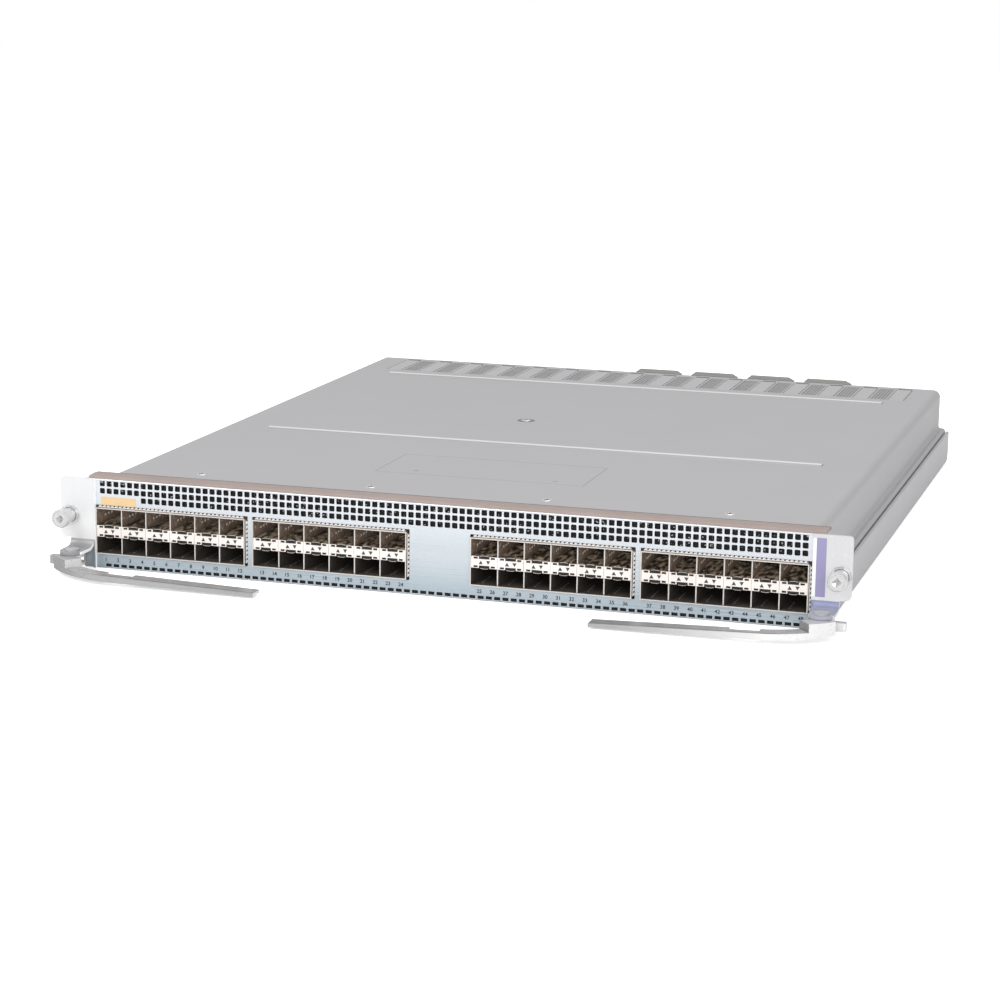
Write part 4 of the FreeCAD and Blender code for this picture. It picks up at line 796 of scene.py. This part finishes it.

# The springs in the screw cups: round steel wire, wound in even turns between the cup's floor and
# the washer.
wire = metal("spring_wire", (150, 150, 152), shine=0.3, metallic=0.8)
COIL_WIRE, COIL_TURNS, COIL_STEPS, COIL_SIDES = 0.6, 4, 24, 8
for side in ("left", "right"):
    low, high = box_mm(f"{side}_screw_spring")
    x, z, reach = (low.x + high.x) / 2, (low.z + high.z) / 2, (high.x - low.x - COIL_WIRE) / 2
    travel = next(joint["range_m"][1] for joint in frame["joints"]
                  if joint["name"] == f"{side}_screw_press") / MM
    rise = (high.y - low.y - COIL_WIRE) / (COIL_TURNS * COIL_STEPS)
    coil, rings = bmesh.new(), []
    for step in range(COIL_TURNS * COIL_STEPS + 1):
        turn = 2 * math.pi * step / COIL_STEPS
        section = circle_of(reach, low.y + COIL_WIRE / 2 + rise * step, COIL_WIRE / 2, COIL_SIDES)
        rings.append([coil.verts.new(at(x + radius * math.cos(turn), y, z + radius * math.sin(turn)))
                      for radius, y in section])
    lofted(coil, rings)
    spring = piece(f"{side}_spring_coil", coil, wire, smooth=60)
    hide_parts(f"{side}_screw_spring")
    at(x, high.y, z)
    1 - travel / (high.y - low.y)
    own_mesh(spring)

# Blank labels: coloured film, stuck on. There is a peach one on the faceplate, and there are white
# and lilac strips on the right ear.
EAR_FRONT, LABEL_ROUND, LABEL_RELIEF = -1.6, 0.3, (-0.08, 0.02)
labels = {"peach_label": ((-193, -172.3, 35.2, 39.8), 0.0, (232, 199, 152)),
          "white_label": ((196.2, 197.9, 17.6, 47.6), EAR_FRONT, (250, 250, 250)),
          "lilac_label": ((197.9, 202.9, 17.6, 47.8), EAR_FRONT, (152, 147, 184))}
for name, (place, y, colour) in labels.items():
    form = bmesh.new()
    swept(form, frame_of(*place, LABEL_ROUND), "y", *(y + relief for relief in LABEL_RELIEF))
    piece(name, form, moulded(name, srgb(*colour), 0.5))

# The cover: painted steel sheet with beads pressed into it, screwed down over the tray. The crests
# of the beads carry a painted highlight, with a painted line of shade at their feet.


def crest_tint(made, base):
    """Painted highlight along the crests of the beads, with a painted line of shade at their feet."""
    foot = made.blend(ramp(made.axis("Z"), 48.22, 48.32), base, srgb(160, 158, 160))
    return made.blend(ramp(made.axis("Z"), 48.7, 48.9), foot, srgb(236, 236, 237))


cover_paint = metal("cover_sheet", (178, 176, 179), shine=0.45, spread=0.03, tint=crest_tint)
coat(cover_paint, "top_cover", bevel=0.15)

# Cover screws: four behind the front edge and one in the middle, nickel plated, each a low head
# with a raised ring and a cross recess.
# A dark grey for the screws' cross recesses and the slits: painted shade.
recess_dark = moulded("recess_shadow", srgb(70, 70, 72), 0.4)
ROW_CENTRE, ROW_PITCH, ROW_Y, MIDDLE_PLACE = -2.0, 98.4, 36.0, (-29.7, 261.0)
HEAD_HEIGHT, SCREW_CROSS = 0.5, (1.7, 0.35)
HEAD_PROFILE = [(0, 0.15), (0.9, 0.15), (1.3, 0.42), (2.5, 0.42), (2.95, 0.1), (2.95, 0.0)]
head_top = box_mm("cover_screws")[1].z
head_foot = head_top - HEAD_HEIGHT
screw_places = [(ROW_CENTRE + (k - 1.5) * ROW_PITCH, ROW_Y) for k in range(4)] + [MIDDLE_PLACE]
heads, recesses = bmesh.new(), bmesh.new()
for x, y in screw_places:
    turned(heads, [(radius, head_foot + z) for radius, z in HEAD_PROFILE], x, y, "z", 32)
    swept(recesses, cross_of(x, y, *SCREW_CROSS), "z", head_top - 0.4, head_top - 0.06)
head_piece = piece("cover_screw_heads", heads, nickel, smooth=30)
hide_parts("cover_screws")
piece("cover_screw_recesses", recesses, recess_dark)

# The dimple around the middle screw: pressed into the painted sheet, so that the screw's head lies
# low, and seen as a shaded ring.
DIMPLE_PROFILE = [(3.1, 0.02), (3.5, 0.03), (5.2, 0.05), (5.5, 0.02)]
dimple_shade = moulded("dimple_shade", srgb(112, 111, 113), 0.5)
dimple = bmesh.new()
turned(dimple, [(radius, head_foot + z) for radius, z in DIMPLE_PROFILE], *MIDDLE_PLACE, "z", hollow=True)
piece("screw_dimple", dimple, dimple_shade, smooth=40)

# Faint marks on the cover: an outline and two round spots, printed on the paint when the sheet was
# marked out.
OUTLINE_MARK, OUTLINE_WIDTH = (-64.0, 55.9, 78.3, 132.3), 0.7
ROUND_MARKS, ROUND_MARK_RADIUS, MARK_RELIEF, BEAD_HEIGHT = ((-42.9, 87.8), (38.0, 85.5)), 1.4, 0.02, 0.9
cover_high = box_mm("top_cover")[1]
cover_top = cover_high.z - BEAD_HEIGHT
left, right, front, back = OUTLINE_MARK
inner_front, inner_back = front + OUTLINE_WIDTH, back - OUTLINE_WIDTH
mark_forms = [frame_of(left, right, front, inner_front), frame_of(left, right, inner_back, back),
              frame_of(left, left + OUTLINE_WIDTH, inner_front, inner_back),
              frame_of(right - OUTLINE_WIDTH, right, inner_front, inner_back)]
mark_forms += [circle_of(x, y, ROUND_MARK_RADIUS, 16) for x, y in ROUND_MARKS]
mark_line = moulded("marking_line", srgb(146, 144, 147), 0.5)
marking = bmesh.new()
for mark_form in mark_forms:
    swept(marking, mark_form, "z", cover_top - MARK_RELIEF, cover_top + MARK_RELIEF)
piece("cover_marking", marking, mark_line)

# The rear vents: screens of perforated galvanised sheet, fixed under the cover, one in each of its
# row of openings.
VENT_COUNT, REAR_PITCH, REAR_SHIFT, REAR_WIDTH, SCREEN_GAP = 15, 23.0, 1.9, 9.3, 0.02
REAR_FRONT, REAR_BACK = cover_high.y - 50, cover_high.y - 8
screen = Finish("vent_screen", metallic=0.2, roughness=0.5)
grid = screen.node("ShaderNodeTexVoronoi", {"feature": "F1"},
                   {"Vector": screen.spot(), "Scale": 480.0, "Randomness": 0.12})
screen_metal = screen.blend(screen.noise(0.01, 3.0), srgb(146, 145, 146), srgb(172, 171, 172))
# The perforations are darker dots on a solid screen: painted shade in the holes.
screen.set(base_color=screen.blend(grid < 0.3, screen_metal, srgb(88, 87, 88)))
screens, reach = bmesh.new(), REAR_WIDTH / 2 - SCREEN_GAP
for k in range(VENT_COUNT):
    x = REAR_SHIFT + (k - VENT_COUNT // 2) * REAR_PITCH
    swept(screens, frame_of(x - reach, x + reach, REAR_FRONT + SCREEN_GAP, REAR_BACK - SCREEN_GAP), "z",
          cover_top - 0.8, cover_top - 0.15)
piece("vent_screens", screens, screen, bevel=0.05)

# Between the vents: light panels of the cover's own sheet, pressed up a little, with a grain that
# runs along them.
PANEL_HALF_WIDTH, PANEL_ROUND = 4.7, 0.5
panel_places = [REAR_SHIFT + (k - VENT_COUNT / 2) * REAR_PITCH for k in range(VENT_COUNT + 1)]
panel_paint = metal("panel_sheet", (186, 184, 186), grain="y", shine=0.4, spread=0.03)
panels = bmesh.new()
for x in panel_places:
    panel = frame_of(x - PANEL_HALF_WIDTH, x + PANEL_HALF_WIDTH, REAR_FRONT, REAR_BACK, PANEL_ROUND)
    swept(panels, panel, "z", cover_top - 0.05, cover_top + 0.12)
piece("rear_light_panels", panels, panel_paint, bevel=0.05)

# The dark slits beside the panels, in dotted rows, and one wide slit behind each panel: thin dark
# strips laid on the cover, painted shade for slits that go through it.
SLIT_HALF_WIDTH, SLIT_GAP, SLIT_LENGTH, SLIT_PITCH, SLIT_COUNT = 0.5, 0.45, 3.2, 6, 7
WIDE_SLIT = (0.5, 4)
slits = bmesh.new()
for x in panel_places:
    outlines = [frame_of(x - PANEL_HALF_WIDTH, x + PANEL_HALF_WIDTH, *(REAR_BACK + y for y in WIDE_SLIT))]
    for side in (-1, 1):
        edge = x + side * (PANEL_HALF_WIDTH + SLIT_GAP)
        for step in range(SLIT_COUNT):
            start = REAR_FRONT + 1 + step * SLIT_PITCH
            outlines.append(frame_of(edge - SLIT_HALF_WIDTH, edge + SLIT_HALF_WIDTH, start,
                                     start + SLIT_LENGTH))
    for slit in outlines:
        swept(slits, slit, "z", cover_top - 0.05, cover_top + 0.03)
piece("rear_slits", slits, recess_dark)
